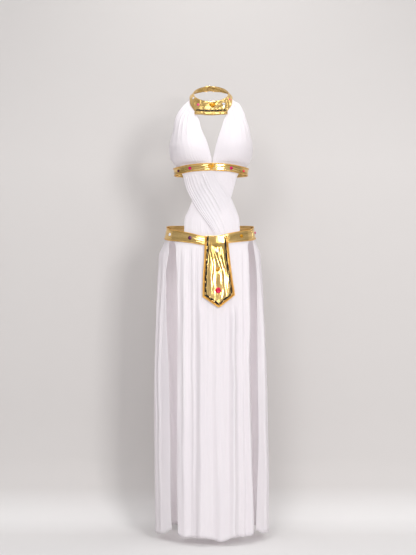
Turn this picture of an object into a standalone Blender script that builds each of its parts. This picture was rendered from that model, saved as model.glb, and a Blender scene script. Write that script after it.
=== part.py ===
"""Egyptian queen costume in its worn form. Metres, +Z up, facing -Y, origin at the centre of the collar."""

import math

import bmesh
import bpy
import numpy as np
from mathutils import Vector

# Layers over the wearer, measured outwards from the figure
CLOTH = 0.0012
GAP = 0.0003
UNDER = 0.0000
CROSSING = 0.0008
OVER = UNDER + CLOTH + CROSSING
BAND = OVER + CLOTH + 1.3 * GAP
BAND_WALL = 0.0018
PIPING = 0.0011

# Figure: height, half width, depth in front, depth behind, centre
FIGURE = (
    ("z", "half", "front", "back", "middle"),
    (-0.225, 0.1250, 0.098, 0.089, 0.0000),
    (-0.260, 0.1210, 0.095, 0.087, 0.0000),
    (-0.330, 0.1090, 0.088, 0.084, 0.0000),
    (-0.386, 0.1190, 0.093, 0.092, -0.0010),
    (-0.430, 0.1385, 0.100, 0.104, -0.0022),
    (-0.485, 0.1500, 0.106, 0.114, -0.0032),
    (-0.520, 0.1560, 0.109, 0.119, -0.0035),
)

# Collar: a tilted cone. Angle from the front, flare from upright, depth of the wall
COLLAR_ACROSS = 0.059
COLLAR_DEEP = 0.057
COLLAR_TILT = 0.033
COLLAR_BACK = 0.010
COLLAR_LIFT = 0.010
COLLAR_WALL = 0.0020
COLLAR = (
    ("angle", "flare", "depth"),
    (0, 26, 0.0470),
    (20, 27, 0.0480),
    (38, 31, 0.0530),
    (44, 33, 0.0460),
    (60, 38, 0.0350),
    (80, 44, 0.0215),
    (100, 45, 0.0205),
    (140, 42, 0.0215),
    (180, 40, 0.0220),
)
COLLAR_ENDS = (-171, 199)
COLLAR_SOFT = 0.0006
LAP_START, LAP_LENGTH = 174, 11
ROLL = 0.0040
ROLL_SPAN = 36
ROLL_LIFT = 0.0024
NECK_BRAID_SPAN = 37
NECK_BRAID = 0.0034
NECK_BRAID_UP = 0.0055
NECK_BRAID_WALL = 0.0012

# Halter panels: inner edge, outer edge, and how far the cloth bulges between them
HALTER_SPAN = (39.5, 83.5)
HALTER_TUCK = (-0.011, -0.004, 0.003)
HALTER_FOOT = 0.1165
HALTER_LEFT = (
    ("in_x", "in_y", "in_z", "out_x", "out_y", "out_z", "bulge"),
    (-0.0461, -0.066, -0.0798, -0.0898, -0.015, -0.0334, 0.007),
    (-0.0398, -0.072, -0.0932, -0.1085, -0.028, -0.0587, 0.012),
    (-0.0353, -0.080, -0.1132, -0.1201, -0.038, -0.0859, 0.018),
    (-0.0292, -0.088, -0.1318, -0.1257, -0.045, -0.1197, 0.027),
    (-0.0169, -0.095, -0.1592, -0.1330, -0.048, -0.1483, 0.035),
    (-0.0082, -0.098, -0.1861, -0.1394, -0.048, -0.1779, 0.040),
    (-0.0022, -0.098, -0.2094, -0.1365, -0.045, -0.2116, 0.037),
    (0.0014, -0.098, -0.2259, -0.1248, -0.041, -0.2332, 0.026),
)
HALTER_RIGHT = (
    ("in_x", "in_y", "in_z", "out_x", "out_y", "out_z", "bulge"),
    (0.0500, -0.066, -0.0785, 0.0945, -0.015, -0.0300, 0.007),
    (0.0433, -0.072, -0.0899, 0.1091, -0.028, -0.0577, 0.012),
    (0.0376, -0.080, -0.1109, 0.1175, -0.038, -0.0859, 0.018),
    (0.0318, -0.088, -0.1284, 0.1265, -0.045, -0.1150, 0.027),
    (0.0238, -0.095, -0.1525, 0.1321, -0.048, -0.1436, 0.035),
    (0.0158, -0.098, -0.1811, 0.1382, -0.048, -0.1746, 0.040),
    (0.0110, -0.098, -0.2044, 0.1366, -0.045, -0.2063, 0.037),
    (0.0064, -0.098, -0.2243, 0.1263, -0.041, -0.2310, 0.026),
)
# Gathers of a halter panel: place from inner to outer edge, width and height
HALTER_FOLDS = (
    ("place", "width", "height"),
    (0.10, 0.050, 0.0022),
    (0.26, 0.055, 0.0030),
    (0.42, 0.050, 0.0036),
    (0.57, 0.050, 0.0034),
    (0.72, 0.055, 0.0032),
    (0.88, 0.055, 0.0024),
)

# Wrap straps: lower edge then upper edge, each as a distance from the middle and a height
WRAP_OVER = (
    ("low_x", "low_z", "high_x", "high_z"),
    (-0.1000, -0.2600, 0.0060, -0.2505),
    (-0.0936, -0.2779, 0.0200, -0.2800),
    (-0.0840, -0.3140, 0.0399, -0.3116),
    (-0.0629, -0.3604, 0.0666, -0.3517),
    (-0.0439, -0.3941, 0.0852, -0.3941),
    (-0.0120, -0.4380, 0.0945, -0.4280),
    (0.0040, -0.4610, 0.0956, -0.4560),
    (0.0180, -0.4900, 0.0980, -0.4760),
)
WRAP_UNDER = (
    ("low_x", "low_z", "high_x", "high_z"),
    (0.0960, -0.2600, -0.0060, -0.2505),
    (0.0872, -0.2779, -0.0200, -0.2800),
    (0.0789, -0.3060, -0.0380, -0.3116),
    (0.0640, -0.3560, -0.0610, -0.3560),
    (0.0450, -0.3900, -0.0775, -0.3960),
    (0.0165, -0.4320, -0.0882, -0.4213),
    (0.0170, -0.4620, -0.0892, -0.4577),
    (0.0230, -0.4880, -0.0900, -0.4760),
)
WRAP_FOLDS = (
    ("place", "width", "height"),
    (0.06, 0.045, 0.0016),
    (0.22, 0.060, 0.0024),
    (0.40, 0.055, 0.0030),
    (0.58, 0.060, 0.0036),
    (0.78, 0.070, 0.0026),
    (0.95, 0.045, 0.0016),
)

# Band and belt: angle from the front, top edge and lower edge
BUST_BAND = (
    ("angle", "top", "bottom"),
    (0, -0.2360, -0.2610),
    (25, -0.2378, -0.2628),
    (60, -0.2450, -0.2705),
    (90, -0.2475, -0.2730),
    (180, -0.2475, -0.2730),
)
BELT = (
    ("angle", "top", "bottom"),
    (0, -0.4805, -0.5100),
    (8, -0.4790, -0.5090),
    (26, -0.4685, -0.5015),
    (45, -0.4605, -0.4965),
    (65, -0.4545, -0.4925),
    (90, -0.4435, -0.4850),
    (130, -0.4385, -0.4820),
    (180, -0.4370, -0.4810),
)
BELT_SEAMS = (-62.0, 68.0)
BELT_SLACK = 0.08
BAND_ENDS = (-170, 200)
PIPING_WIDE = 0.0018

# Below this height the cloth leaves the figure and follows the drape, over this distance
HIP = -0.497
HIP_BLEND = 0.020

# Skirt: height, half width, depth in front and behind, middle
DRAPE = (
    ("z", "half", "front", "back", "middle"),
    (-0.485, 0.1515, 0.1075, 0.1155, -0.0032),
    (-0.515, 0.1615, 0.1110, 0.1200, -0.0040),
    (-0.545, 0.1685, 0.1150, 0.1240, -0.0046),
    (-0.575, 0.1700, 0.1190, 0.1270, -0.0046),
    (-0.632, 0.1730, 0.1240, 0.1310, -0.0041),
    (-0.785, 0.1785, 0.1300, 0.1370, -0.0029),
    (-0.965, 0.1853, 0.1330, 0.1430, -0.0014),
    (-1.118, 0.1868, 0.1340, 0.1460, -0.0002),
    (-1.254, 0.1878, 0.1350, 0.1480, 0.0022),
    (-1.480, 0.1862, 0.1360, 0.1500, 0.0041),
)
# Edges of the two panels at the slits
SLITS = (
    ("z", "front_left", "front_right", "back_left", "back_right", "back_edge"),
    (-0.485, -0.1275, 0.1315, -0.1335, 0.1375, -0.0590),
    (-0.515, -0.1175, 0.1225, -0.1350, 0.1408, -0.0600),
    (-0.561, -0.1140, 0.1238, -0.1444, 0.1475, -0.0590),
    (-0.610, -0.1108, 0.1250, -0.1500, 0.1515, -0.0590),
    (-0.745, -0.1085, 0.1270, -0.1485, 0.1536, -0.0600),
    (-0.927, -0.1095, 0.1252, -0.1404, 0.1540, -0.0620),
    (-1.173, -0.1098, 0.1298, -0.1350, 0.1575, -0.0640),
    (-1.364, -0.1090, 0.1335, -0.1334, 0.1512, -0.0640),
    (-1.480, -0.1064, 0.1420, -0.1276, 0.1475, -0.0620),
)
FRONT_HEM = (
    ("x", "z"),
    (-0.112, -1.4685),
    (-0.091, -1.4765),
    (-0.033, -1.4735),
    (0.000, -1.4800),
    (0.030, -1.4875),
    (0.051, -1.4835),
    (0.0725, -1.4735),
    (0.123, -1.4750),
    (0.146, -1.4625),
)
# Folds of the front panel: place, width and height at the belt, at mid length and at the hem
FRONT_FOLDS = (
    ("x_top", "x_mid", "x_hem", "width", "top", "mid", "hem"),
    (-0.1120, -0.1060, -0.1040, 0.0080, 0.0020, 0.0050, 0.0060),
    (-0.0880, -0.0869, -0.0840, 0.0110, 0.0040, 0.0110, 0.0100),
    (-0.0590, -0.0580, -0.0570, 0.0050, 0.0030, 0.0040, 0.0020),
    (-0.0360, -0.0314, -0.0320, 0.0125, 0.0025, 0.0120, 0.0150),
    (-0.0100, -0.0080, -0.0100, 0.0080, 0.0020, 0.0040, 0.0050),
    (0.0150, 0.0200, 0.0290, 0.0110, 0.0020, 0.0050, 0.0090),
    (0.0400, 0.0420, 0.0480, 0.0090, 0.0020, 0.0045, 0.0060),
    (0.0690, 0.0718, 0.0730, 0.0095, 0.0035, 0.0150, 0.0160),
    (0.0960, 0.1020, 0.1060, 0.0060, 0.0030, 0.0050, 0.0060),
    (0.1180, 0.1190, 0.1290, 0.0085, 0.0030, 0.0120, 0.0130),
)
# Folds of the back panel by angle from the front
BACK_FOLDS = (
    ("angle", "width", "top", "mid", "hem"),
    (-66, 3.2, 0.0010, 0.0050, 0.0020),
    (-77, 3.4, 0.0015, 0.0060, 0.0030),
    (-92, 4.0, 0.0012, 0.0035, 0.0035),
    (-112, 6.0, 0.0020, 0.0090, 0.0120),
    (-134, 6.5, 0.0020, 0.0100, 0.0140),
    (-157, 6.5, 0.0020, 0.0110, 0.0150),
    (180, 6.5, 0.0020, 0.0100, 0.0140),
    (157, 6.5, 0.0020, 0.0110, 0.0150),
    (134, 6.5, 0.0020, 0.0100, 0.0140),
    (112, 6.0, 0.0020, 0.0090, 0.0120),
    (92, 4.0, 0.0012, 0.0035, 0.0035),
    (73, 3.6, 0.0015, 0.0060, 0.0040),
)

# Flap: height and its two side edges; the point is below the last row
FLAP_WALL = 0.0016
FLAP_TOP = -0.4785
FLAP_POINT = (0.0261, -0.7125)
FLAP_CORNERS = (-0.679, -0.674)
FLAP_FOOT = (-0.0262, 0.0790)
FLAP_HANG = 0.0052
FLAP = (
    ("z", "left", "right"),
    (-0.478, -0.0180, 0.0530),
    (-0.554, -0.0205, 0.0605),
    (-0.620, -0.0245, 0.0690),
    (-0.680, -0.0255, 0.0775),
    (-0.715, -0.0262, 0.0790),
)
BINDING = 0.0018
BRAID_IN = 0.0040
BRAID_WIDE = 0.0078

GOLD = (0.72, 0.52, 0.20)
ORANGE_GOLD = (0.70, 0.36, 0.08)
WHITE = (0.86, 0.84, 0.88)
DARK = (0.05, 0.04, 0.03)
# Stones: where they sit, shape, radius, height and colour
STONES = (
    ("name", "on", "x", "z", "shape", "radius", "rise", "colour"),
    ("collar_stone_heart", "collar", 0.0049, -0.0385, "heart", 0.0098, 0.0045, (0.75, 0.30, 0.05)),
    ("collar_stone_pink", "collar", -0.0432, -0.0355, "round", 0.0042, 0.0028, (0.75, 0.15, 0.35)),
    ("collar_stone_clear", "collar", 0.0423, -0.0332, "round", 0.0055, 0.0034, (0.85, 0.85, 0.85)),
    ("collar_stone_left", "collar", -0.0592, -0.0103, "oval", 0.0046, 0.0030, (0.85, 0.85, 0.85)),
    ("collar_stone_right", "collar", 0.0628, -0.0151, "round", 0.0040, 0.0028, (0.75, 0.15, 0.35)),
    ("band_stone_heart", "band", -0.0002, -0.2485, "heart", 0.0088, 0.0042, (0.75, 0.30, 0.05)),
    ("band_stone_magenta_left", "band", -0.0710, -0.2520, "round", 0.0050, 0.0034, (0.60, 0.03, 0.25)),
    ("band_stone_magenta_right", "band", 0.0680, -0.2520, "round", 0.0050, 0.0034, (0.60, 0.03, 0.25)),
    ("band_stone_purple", "band", -0.1100, -0.2585, "round", 0.0045, 0.0030, (0.20, 0.03, 0.25)),
    ("band_stone_red", "band", 0.1100, -0.2590, "round", 0.0045, 0.0030, (0.35, 0.02, 0.03)),
    ("belt_stone_white", "belt", -0.1385, -0.4725, "round", 0.0060, 0.0036, (0.85, 0.85, 0.85)),
    ("belt_stone_purple", "belt", -0.0711, -0.4850, "round", 0.0055, 0.0034, (0.30, 0.04, 0.35)),
    ("belt_stone_amber", "belt", 0.1024, -0.4790, "round", 0.0052, 0.0034, (0.75, 0.30, 0.05)),
    ("belt_stone_pink", "belt", 0.1500, -0.4655, "round", 0.0048, 0.0032, (0.75, 0.15, 0.35)),
    ("flap_stone_clear", "flap", 0.0205, -0.5286, "round", 0.0050, 0.0034, (0.85, 0.85, 0.85)),
    ("flap_stone_amber", "flap", 0.0219, -0.5902, "round", 0.0060, 0.0038, (0.75, 0.30, 0.05)),
    ("flap_stone_red", "flap", 0.0235, -0.6593, "round", 0.0088, 0.0046, (0.55, 0.03, 0.04)),
)


def rows(table):
    """The rows of a table as dicts."""
    return [dict(zip(table[0], row)) for row in table[1:]]


def along(table, key, at, column):
    """A column of a table, read smoothly at a value of its key, with no overshoot."""
    found = sorted((row[key], row[column]) for row in rows(table))
    x = np.array([f[0] for f in found])
    y = np.array([f[1] for f in found])
    at = np.clip(np.asarray(at, float), x[0], x[-1])
    step = np.diff(x)
    rise = np.diff(y) / step
    slope = np.zeros(len(x))
    slope[0], slope[-1] = rise[0], rise[-1]
    same = rise[:-1] * rise[1:] > 0
    both = np.where(same, rise[:-1] + rise[1:], 1)
    slope[1:-1] = np.where(same, 2 * rise[:-1] * rise[1:] / both, 0)
    i = np.clip(np.searchsorted(x, at, "right") - 1, 0, len(step) - 1)
    u = (at - x[i]) / step[i]
    return (
        y[i] * (1 + 2 * u) * (1 - u) ** 2
        + slope[i] * step[i] * u * (1 - u) ** 2
        + y[i + 1] * u * u * (3 - 2 * u)
        + slope[i + 1] * step[i] * u * u * (u - 1)
    )


def ease(x):
    """A smooth step from 0 to 1."""
    x = np.clip(x, 0, 1)
    return x * x * (3 - 2 * x)


def bump(x):
    """A rounded crest of height 1 and half width 1, flat outside about 2."""
    return np.exp(-np.asarray(x, float) ** 2)


def oval(table, angle, z, lift):
    """A point on a half-oval section at an angle from the front, moved outwards by lift."""
    half = along(table, "z", z, "half")
    deep = np.where(np.cos(angle) > 0, along(table, "z", z, "front"), along(table, "z", z, "back"))
    nx, ny = np.sin(angle) / half, np.cos(angle) / deep
    size = np.hypot(nx, ny)
    x = along(table, "z", z, "middle") + half * np.sin(angle) + lift * nx / size
    y = -deep * np.cos(angle) - lift * ny / size
    return np.stack([x, y, z + 0 * x], -1)


def front_angle(table, x, z, lift=0.0):
    """The angle at which the front of a section is x from the middle."""
    half = along(table, "z", z, "half") + lift
    return np.arcsin(np.clip((x - along(table, "z", z, "middle")) / half, -0.999, 0.999))


def turned(angle):
    """Degrees from the front, 0 to 180, on either side."""
    return np.degrees(np.abs((angle + np.pi) % (2 * np.pi) - np.pi))


def collar_point(angle, down, lift):
    """A point of the collar's outer side, so far down from its top edge and moved outwards by lift."""
    flare = np.radians(along(COLLAR, "angle", turned(angle), "flare"))
    out = down * np.sin(flare) + lift * np.cos(flare)
    x = COLLAR_ACROSS * np.sin(angle) + out * np.sin(angle)
    y = COLLAR_BACK - COLLAR_DEEP * np.cos(angle) - out * np.cos(angle)
    z = COLLAR_LIFT - COLLAR_TILT * np.cos(angle) - down * np.cos(flare) + lift * np.sin(flare)
    return np.stack([x, y, z], -1)


def collar_depth(angle):
    """The height of the collar's wall at an angle."""
    return along(COLLAR, "angle", turned(angle), "depth")


def normals(grid):
    """The unit normals of a grid of points, by differences."""
    down = np.gradient(grid, axis=0)
    across = np.gradient(grid, axis=1)
    n = np.cross(down, across)
    return n / np.linalg.norm(n, axis=-1, keepdims=True)


def material(name, colour, metallic, roughness):
    """A Principled material."""
    made = bpy.data.materials.new(name)
    made.use_nodes = True
    shader = made.node_tree.nodes["Principled BSDF"]
    shader.inputs["Base Color"].default_value = (*colour, 1)
    shader.inputs["Metallic"].default_value = metallic
    shader.inputs["Roughness"].default_value = roughness
    return made


def add_object(name, mesh, look):
    """Finishes a bmesh as one object with smooth shading and outward faces."""
    bmesh.ops.recalc_face_normals(mesh, faces=mesh.faces[:])
    for face in mesh.faces:
        face.smooth = True
    data = bpy.data.meshes.new(name)
    mesh.to_mesh(data)
    mesh.free()
    data.materials.append(material(name, *look))
    obj = bpy.data.objects.new(name, data)
    bpy.context.collection.objects.link(obj)
    return obj


def solid(name, sections, look):
    """A closed body through sections of the same even number of points, capped at its ends."""
    mesh = bmesh.new()
    made = [[mesh.verts.new(Vector(p)) for p in section] for section in sections]
    count = len(made[0])
    for one, two in zip(made, made[1:]):
        for i in range(count):
            j = (i + 1) % count
            split(mesh, (one[i], one[j], two[j], two[i]), i < count // 2)
    for end in (made[0], made[-1]):
        cap(mesh, end)
    return add_object(name, mesh, look)


def split(mesh, quad, first):
    """Two triangles, cut so that both sides of a wall are cut alike."""
    a, b, c, d = quad
    if first:
        mesh.faces.new((a, b, c))
        mesh.faces.new((a, c, d))
    else:
        mesh.faces.new((b, c, d))
        mesh.faces.new((b, d, a))


def cap(mesh, loop):
    """Closes a loop that goes out along one side and back along the other, with quads between them."""
    count = len(loop)
    for i in range((count - 2) // 2):
        face = (loop[i], loop[i + 1], loop[count - 2 - i], loop[count - 1 - i])
        mesh.faces.new(face)


def shell(name, outer, inner, look):
    """A wall between two grids of points."""
    sections = [np.concatenate([outer[:, j], inner[::-1, j]]) for j in range(outer.shape[1])]
    return solid(name, sections, look)


def cloth(name, grid, raised, wall, look, side=1):
    """A wall whose inner side is a grid moved along its normals by raised."""
    n = normals(grid) * side
    inner = grid + n * raised[..., None]
    outer = inner + n * wall
    return shell(name, outer, inner, look)


def tube(name, path, radius, look, count=6):
    """A round cord along a path of points."""
    path = np.asarray(path, float)
    ahead = np.gradient(path, axis=0)
    ahead /= np.linalg.norm(ahead, axis=1, keepdims=True)
    side = np.cross(ahead[0], (0.0, 1.0, 0.2))
    sections = []
    for point, way in zip(path, ahead):
        side = side - way * side.dot(way)
        side /= np.linalg.norm(side)
        up = np.cross(way, side)
        turns = [2 * math.pi * i / count for i in range(count)]
        sections.append([point + radius * (math.cos(a) * side + math.sin(a) * up) for a in turns])
    return solid(name, sections, look)


def band(name, angles, table, look, lifts):
    """A gold band around the figure, with a piped roll along each edge."""
    sections = []
    for angle, lift in zip(angles, lifts):
        top = along(table, "angle", turned(angle), "top")
        low = along(table, "angle", turned(angle), "bottom")
        middle = (top + low) / 2
        profile = (
            (BAND, top - 0.0002),
            (BAND, middle),
            (BAND, low + 0.0002),
            (BAND + BAND_WALL + 0.4 * PIPING, low),
            (BAND + BAND_WALL + PIPING, low + PIPING_WIDE),
            (BAND + BAND_WALL, low + 2.2 * PIPING_WIDE),
            (BAND + BAND_WALL, middle),
            (BAND + BAND_WALL, top - 2.2 * PIPING_WIDE),
            (BAND + BAND_WALL + PIPING, top - PIPING_WIDE),
            (BAND + BAND_WALL + 0.4 * PIPING, top),
        )
        levels = [np.float64(z) for _, z in profile]
        lifted = [out + lift for out, _ in profile]
        sections.append([oval(FIGURE, angle, z, out) for z, out in zip(levels, lifted)])
    return solid(name, sections, look)


def stone(item):
    """A cut stone with a flat back, laid on its gold piece."""
    centre, n, up = seat(item)
    side = np.cross(up, n)
    radius, rise = item["radius"], item["rise"]
    count = 14 if item["shape"] == "heart" else 10
    outline = []
    for i in range(count):
        a = 2 * math.pi * i / count
        if item["shape"] == "heart":
            s = math.sin(a)
            x = s * s * s * 1.02
            y = (13 * math.cos(a) - 5 * math.cos(2 * a) - 2 * math.cos(3 * a) - math.cos(4 * a)) / 16
            outline.append((x, y + 0.12))
        elif item["shape"] == "oval":
            outline.append((0.8 * math.cos(a), 1.15 * math.sin(a)))
        else:
            outline.append((math.cos(a), math.sin(a)))
    outline = np.array(outline) * radius
    mesh = bmesh.new()
    rings = []
    for scale, height in ((0.94, 0.0), (1.0, 0.35), (0.60, 1.0)):
        ring = [centre + side * x * scale + up * y * scale + n * height * rise for x, y in outline]
        rings.append([mesh.verts.new(Vector(p)) for p in ring])
    for one, two in zip(rings, rings[1:]):
        for i in range(count):
            j = (i + 1) % count
            mesh.faces.new((one[i], one[j], two[j], two[i]))
    for ring, height in ((rings[0], 0.0), (rings[-1], 1.0)):
        hub = mesh.verts.new(Vector(centre + up * 0.12 * radius + n * height * rise))
        for i in range(count):
            mesh.faces.new((ring[i], ring[(i + 1) % count], hub))
    return add_object(item["name"], mesh, (item["colour"], 0.0, 0.15))


def seat(item):
    """Where a stone's back rests: point, normal and up."""
    x, z = np.float64(item["x"]), np.float64(item["z"])
    if item["on"] == "flap":
        base = [flap_point(x, z + dz, FLAP_WALL) for dz in (0.0, 0.006)]
        wide = flap_point(x + 0.006, z, FLAP_WALL)
        lift = GAP + 0.0004
    elif item["on"] == "collar":
        angle, down = on_collar(x, z)
        base = [collar_point(angle, down - d, 0.0) for d in (0.0, 0.006)]
        wide = collar_point(angle + 0.05, down, 0.0)
        lift = GAP
    else:
        out = BAND + BAND_WALL
        angle = front_angle(FIGURE, x, z, out)
        base = [oval(FIGURE, angle, z + dz, out) for dz in (0.0, 0.006)]
        wide = oval(FIGURE, angle + 0.05, z, out)
        lift = GAP
    up = base[1] - base[0]
    n = np.cross(wide - base[0], up)
    n /= np.linalg.norm(n)
    up = up - n * up.dot(n)
    up /= np.linalg.norm(up)
    return base[0] + n * lift, n, up


def on_collar(x, z):
    """The angle and depth at which the collar is at x and z as seen from the front."""
    angle, down = np.arcsin(np.clip(x / 0.075, -0.98, 0.98)), 0.01
    for _ in range(40):
        point = collar_point(angle, down, 0.0)
        flare = np.radians(along(COLLAR, "angle", np.degrees(abs(angle)), "flare"))
        down += 0.6 * (point[2] - z) / np.cos(flare)
        angle += 0.6 * (x - point[0]) / (0.075 * max(np.cos(angle), 0.2))
        angle = np.clip(angle, -1.5, 1.5)
    return angle, down


def make_collar():
    """The collar, the padded roll below its front and the braid between them."""
    start, end = np.radians(COLLAR_ENDS[0]), np.radians(COLLAR_ENDS[1])
    angle = np.linspace(start, end, 46)
    lap = ease((np.degrees(angle) - LAP_START) / LAP_LENGTH) * (COLLAR_WALL + 2 * GAP)
    share = np.array([0.0, 0.03, 0.5, 0.95, 1.0])
    swell = np.array([-COLLAR_SOFT, 0.0, 0.0, 0.0, -COLLAR_SOFT])
    down = share[:, None] * collar_depth(angle)[None]
    over = lap[None] + 0 * down
    outer = collar_point(angle[None] + 0 * down, down, over + swell[:, None])
    inner = collar_point(angle[None] + 0 * down, down, over - COLLAR_WALL - swell[:, None])
    shell("collar", outer, inner, (GOLD, 1.0, 0.35))
    angle = np.radians(np.linspace(-ROLL_SPAN, ROLL_SPAN, 17))
    path = collar_point(angle, collar_depth(angle) + ROLL + GAP, ROLL_LIFT)
    tube("collar_roll", path, ROLL, (GOLD, 1.0, 0.35), 8)
    angle = np.radians(np.linspace(-NECK_BRAID_SPAN, NECK_BRAID_SPAN, 18))
    high = collar_depth(angle) - NECK_BRAID_UP
    down = np.stack([high, high + NECK_BRAID])
    outer = collar_point(angle[None] + 0 * down, down, GAP + NECK_BRAID_WALL)
    inner = collar_point(angle[None] + 0 * down, down, GAP)
    shell("collar_braid", outer, inner, (DARK, 0.6, 0.4))


def halter_grid(table, side, columns):
    """Rows of points down a halter panel, from under the collar to under the band."""
    v = np.linspace(0, 1, columns)
    under = -COLLAR_WALL - GAP - CLOTH
    angle = side * np.radians(HALTER_SPAN[0] + v * (HALTER_SPAN[1] - HALTER_SPAN[0]))
    sections = []
    for more in HALTER_TUCK:
        down = collar_depth(angle) + more
        sections.append(collar_point(angle, down, under - GAP))
    for row in rows(table):
        one = np.array([row["in_x"], row["in_y"], row["in_z"]])
        two = np.array([row["out_x"], row["out_y"], row["out_z"]])
        out = np.array([two[1] - one[1], -(two[0] - one[0]), 0.0]) * side
        out[1] = -abs(out[1])
        out[0] = side * abs(out[0])
        out /= np.linalg.norm(out)
        line = one + (two - one) * v[:, None]
        sections.append(line + out * (row["bulge"] * np.sin(np.pi * v) ** 0.85)[:, None])
    inner = rows(table)[-1]["in_x"]
    x = inner + (side * HALTER_FOOT - inner) * v
    for share in (-0.12, 0.45):
        z = np.full(columns, BUST_BAND[1][1])
        for _ in range(6):
            turn = turned(front_angle(FIGURE, x, z, OVER))
            top = along(BUST_BAND, "angle", turn, "top")
            z = top + (along(BUST_BAND, "angle", turn, "bottom") - top) * share
        one = front_angle(FIGURE, x[0], z[0], OVER)
        two = front_angle(FIGURE, x[-1], z[-1], OVER)
        sections.append(oval(FIGURE, one + (two - one) * v, z, OVER))
    return np.array(sections)


def refine(sections, counts):
    """Adds rows between the given ones along smooth curves."""
    length = np.linalg.norm(np.diff(sections, axis=0), axis=-1).mean(axis=1)
    at = np.concatenate([[0], np.cumsum(length)])
    rise = np.diff(sections, axis=0) / np.diff(at)[:, None, None]
    slope = np.zeros_like(sections)
    slope[0], slope[-1] = rise[0], rise[-1]
    before, after = np.diff(at)[:-1, None, None], np.diff(at)[1:, None, None]
    slope[1:-1] = (rise[:-1] * after + rise[1:] * before) / (before + after)
    made = [sections[0]]
    for i in range(len(sections) - 1):
        wide = at[i + 1] - at[i]
        for j in range(1, counts[i] + 1):
            u = j / counts[i]
            made.append(
                sections[i] * (1 + 2 * u) * (1 - u) ** 2
                + slope[i] * wide * u * (1 - u) ** 2
                + sections[i + 1] * u * u * (3 - 2 * u)
                + slope[i + 1] * wide * u * u * (u - 1)
            )
    return np.array(made)


def make_halter(name, table, side):
    """One halter panel, gathered under the collar and into the band."""
    columns = 20
    grid = halter_grid(table, side, columns)
    count = len(grid)
    u = np.linspace(0, 1, count)[:, None]
    v = np.linspace(0, 1, columns)[None]
    raised = np.zeros((count, columns))
    for fold in rows(HALTER_FOLDS):
        raised += fold["height"] * bump((v - fold["place"]) / (fold["width"] * (0.8 + 0.6 * u)))
    raised *= ease((u - 0.168) / 0.09)
    raised *= (1 - 0.85 * ease((u - 0.35) / 0.3)) * (1 - ease((u - 0.78) / 0.12))
    small = 0.0012 * np.sin(v * 2 * np.pi * 6.0) ** 2 * ease((u - 0.78) / 0.08)
    raised += small * (1 - ease((u - 0.84) / 0.06))
    cloth(name, grid, raised, CLOTH, (WHITE, 0.0, 0.8), side)


def strap_point(x, z, lift):
    """A point of a strap on the front of the figure."""
    angle = front_angle(FIGURE, x, z, lift)
    return oval(FIGURE, angle, z, lift)


def make_wrap(name, table, base, lifted):
    """One strap of the crossed bodice."""
    columns = 16
    v = np.linspace(0, 1, columns)
    flat = []
    for row in rows(table):
        low = np.array([row["low_x"], row["low_z"]])
        high = np.array([row["high_x"], row["high_z"]])
        flat.append(low + (high - low) * v[:, None])
    flat = refine(np.array(flat), (2, 2, 3, 2, 2, 2, 2))
    x, z = flat[..., 0], flat[..., 1]
    turn = turned(front_angle(FIGURE, x, z))
    band_low = along(BUST_BAND, "angle", turn, "bottom")
    belt_top = along(BELT, "angle", turn, "top")
    free = ease((band_low - 0.005 - z) / 0.016) * ease((z - belt_top - 0.007) / 0.016)
    raised = np.zeros(x.shape)
    for fold in rows(WRAP_FOLDS):
        raised += fold["height"] * bump((v[None] - fold["place"]) / fold["width"])
    raised *= free * lifted(x, z)
    inner = strap_point(x, z, base + raised)
    outer = strap_point(x, z, base + raised + CLOTH)
    shell(name, outer, inner, (WHITE, 0.0, 0.8))


def under_shows(x, z):
    """Where the lower strap isn't covered by the other, so that its folds may rise."""
    right = ease((x - 0.043 - (-0.30 - z) * 0.68) / 0.012)
    left = ease((-0.060 - (z + 0.385) * 0.75 - x) / 0.012)
    return np.maximum(right, left) * 0.9


def make_bands():
    """The bust band, and the belt in two pieces that meet at its side seams."""
    angles = np.radians(np.linspace(BAND_ENDS[0], BAND_ENDS[1], 60))
    lap = ease((np.degrees(angles) - LAP_START) / LAP_LENGTH) * (BAND_WALL + PIPING + 2 * GAP)
    band("bust_band", angles, BUST_BAND, (GOLD, 1.0, 0.35), lap)
    left, right = BELT_SEAMS
    front = np.radians(np.linspace(left + BELT_SLACK, right - BELT_SLACK, 22))
    band("belt_front", front, BELT, (GOLD, 1.0, 0.35), 0 * front)
    back = np.radians(np.linspace(right + BELT_SLACK, left + 360 - BELT_SLACK, 44))
    band("belt_back", back, BELT, (GOLD, 1.0, 0.35), 0 * back)


def front_base(x, z, lift):
    """The front panel's plain surface at x: on the figure under the belt, then the drape's curve."""
    figure = oval(FIGURE, front_angle(FIGURE, x, z, lift), z, lift)
    drape = oval(DRAPE, front_angle(DRAPE, x, z, lift), z, lift)
    mix = ease((HIP - z) / HIP_BLEND)[..., None]
    return figure * (1 - mix) + drape * mix


def front_folds(x, z):
    """How far the front panel's folds stand out."""
    down = np.clip((-0.51 - z) / 0.96, 0, 1)
    raised = np.zeros(np.broadcast(x, z).shape)
    for f in rows(FRONT_FOLDS):
        near = ease(down / 0.30)
        far = ease((down - 0.45) / 0.55)
        place = f["x_top"] + (f["x_mid"] - f["x_top"]) * near + (f["x_hem"] - f["x_mid"]) * far
        height = f["top"] + (f["mid"] - f["top"]) * near + (f["hem"] - f["mid"]) * far
        width = f["width"] * (1 + 0.25 * far)
        raised += height * bump((x - place) / width)
    under_flap = ease((x + 0.040) / 0.012) * ease((0.092 - x) / 0.012) * ease((z + 0.745) / 0.05)
    raised *= 1 - 0.80 * under_flap
    return raised * ease((-0.5115 - z) / 0.03)


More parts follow.
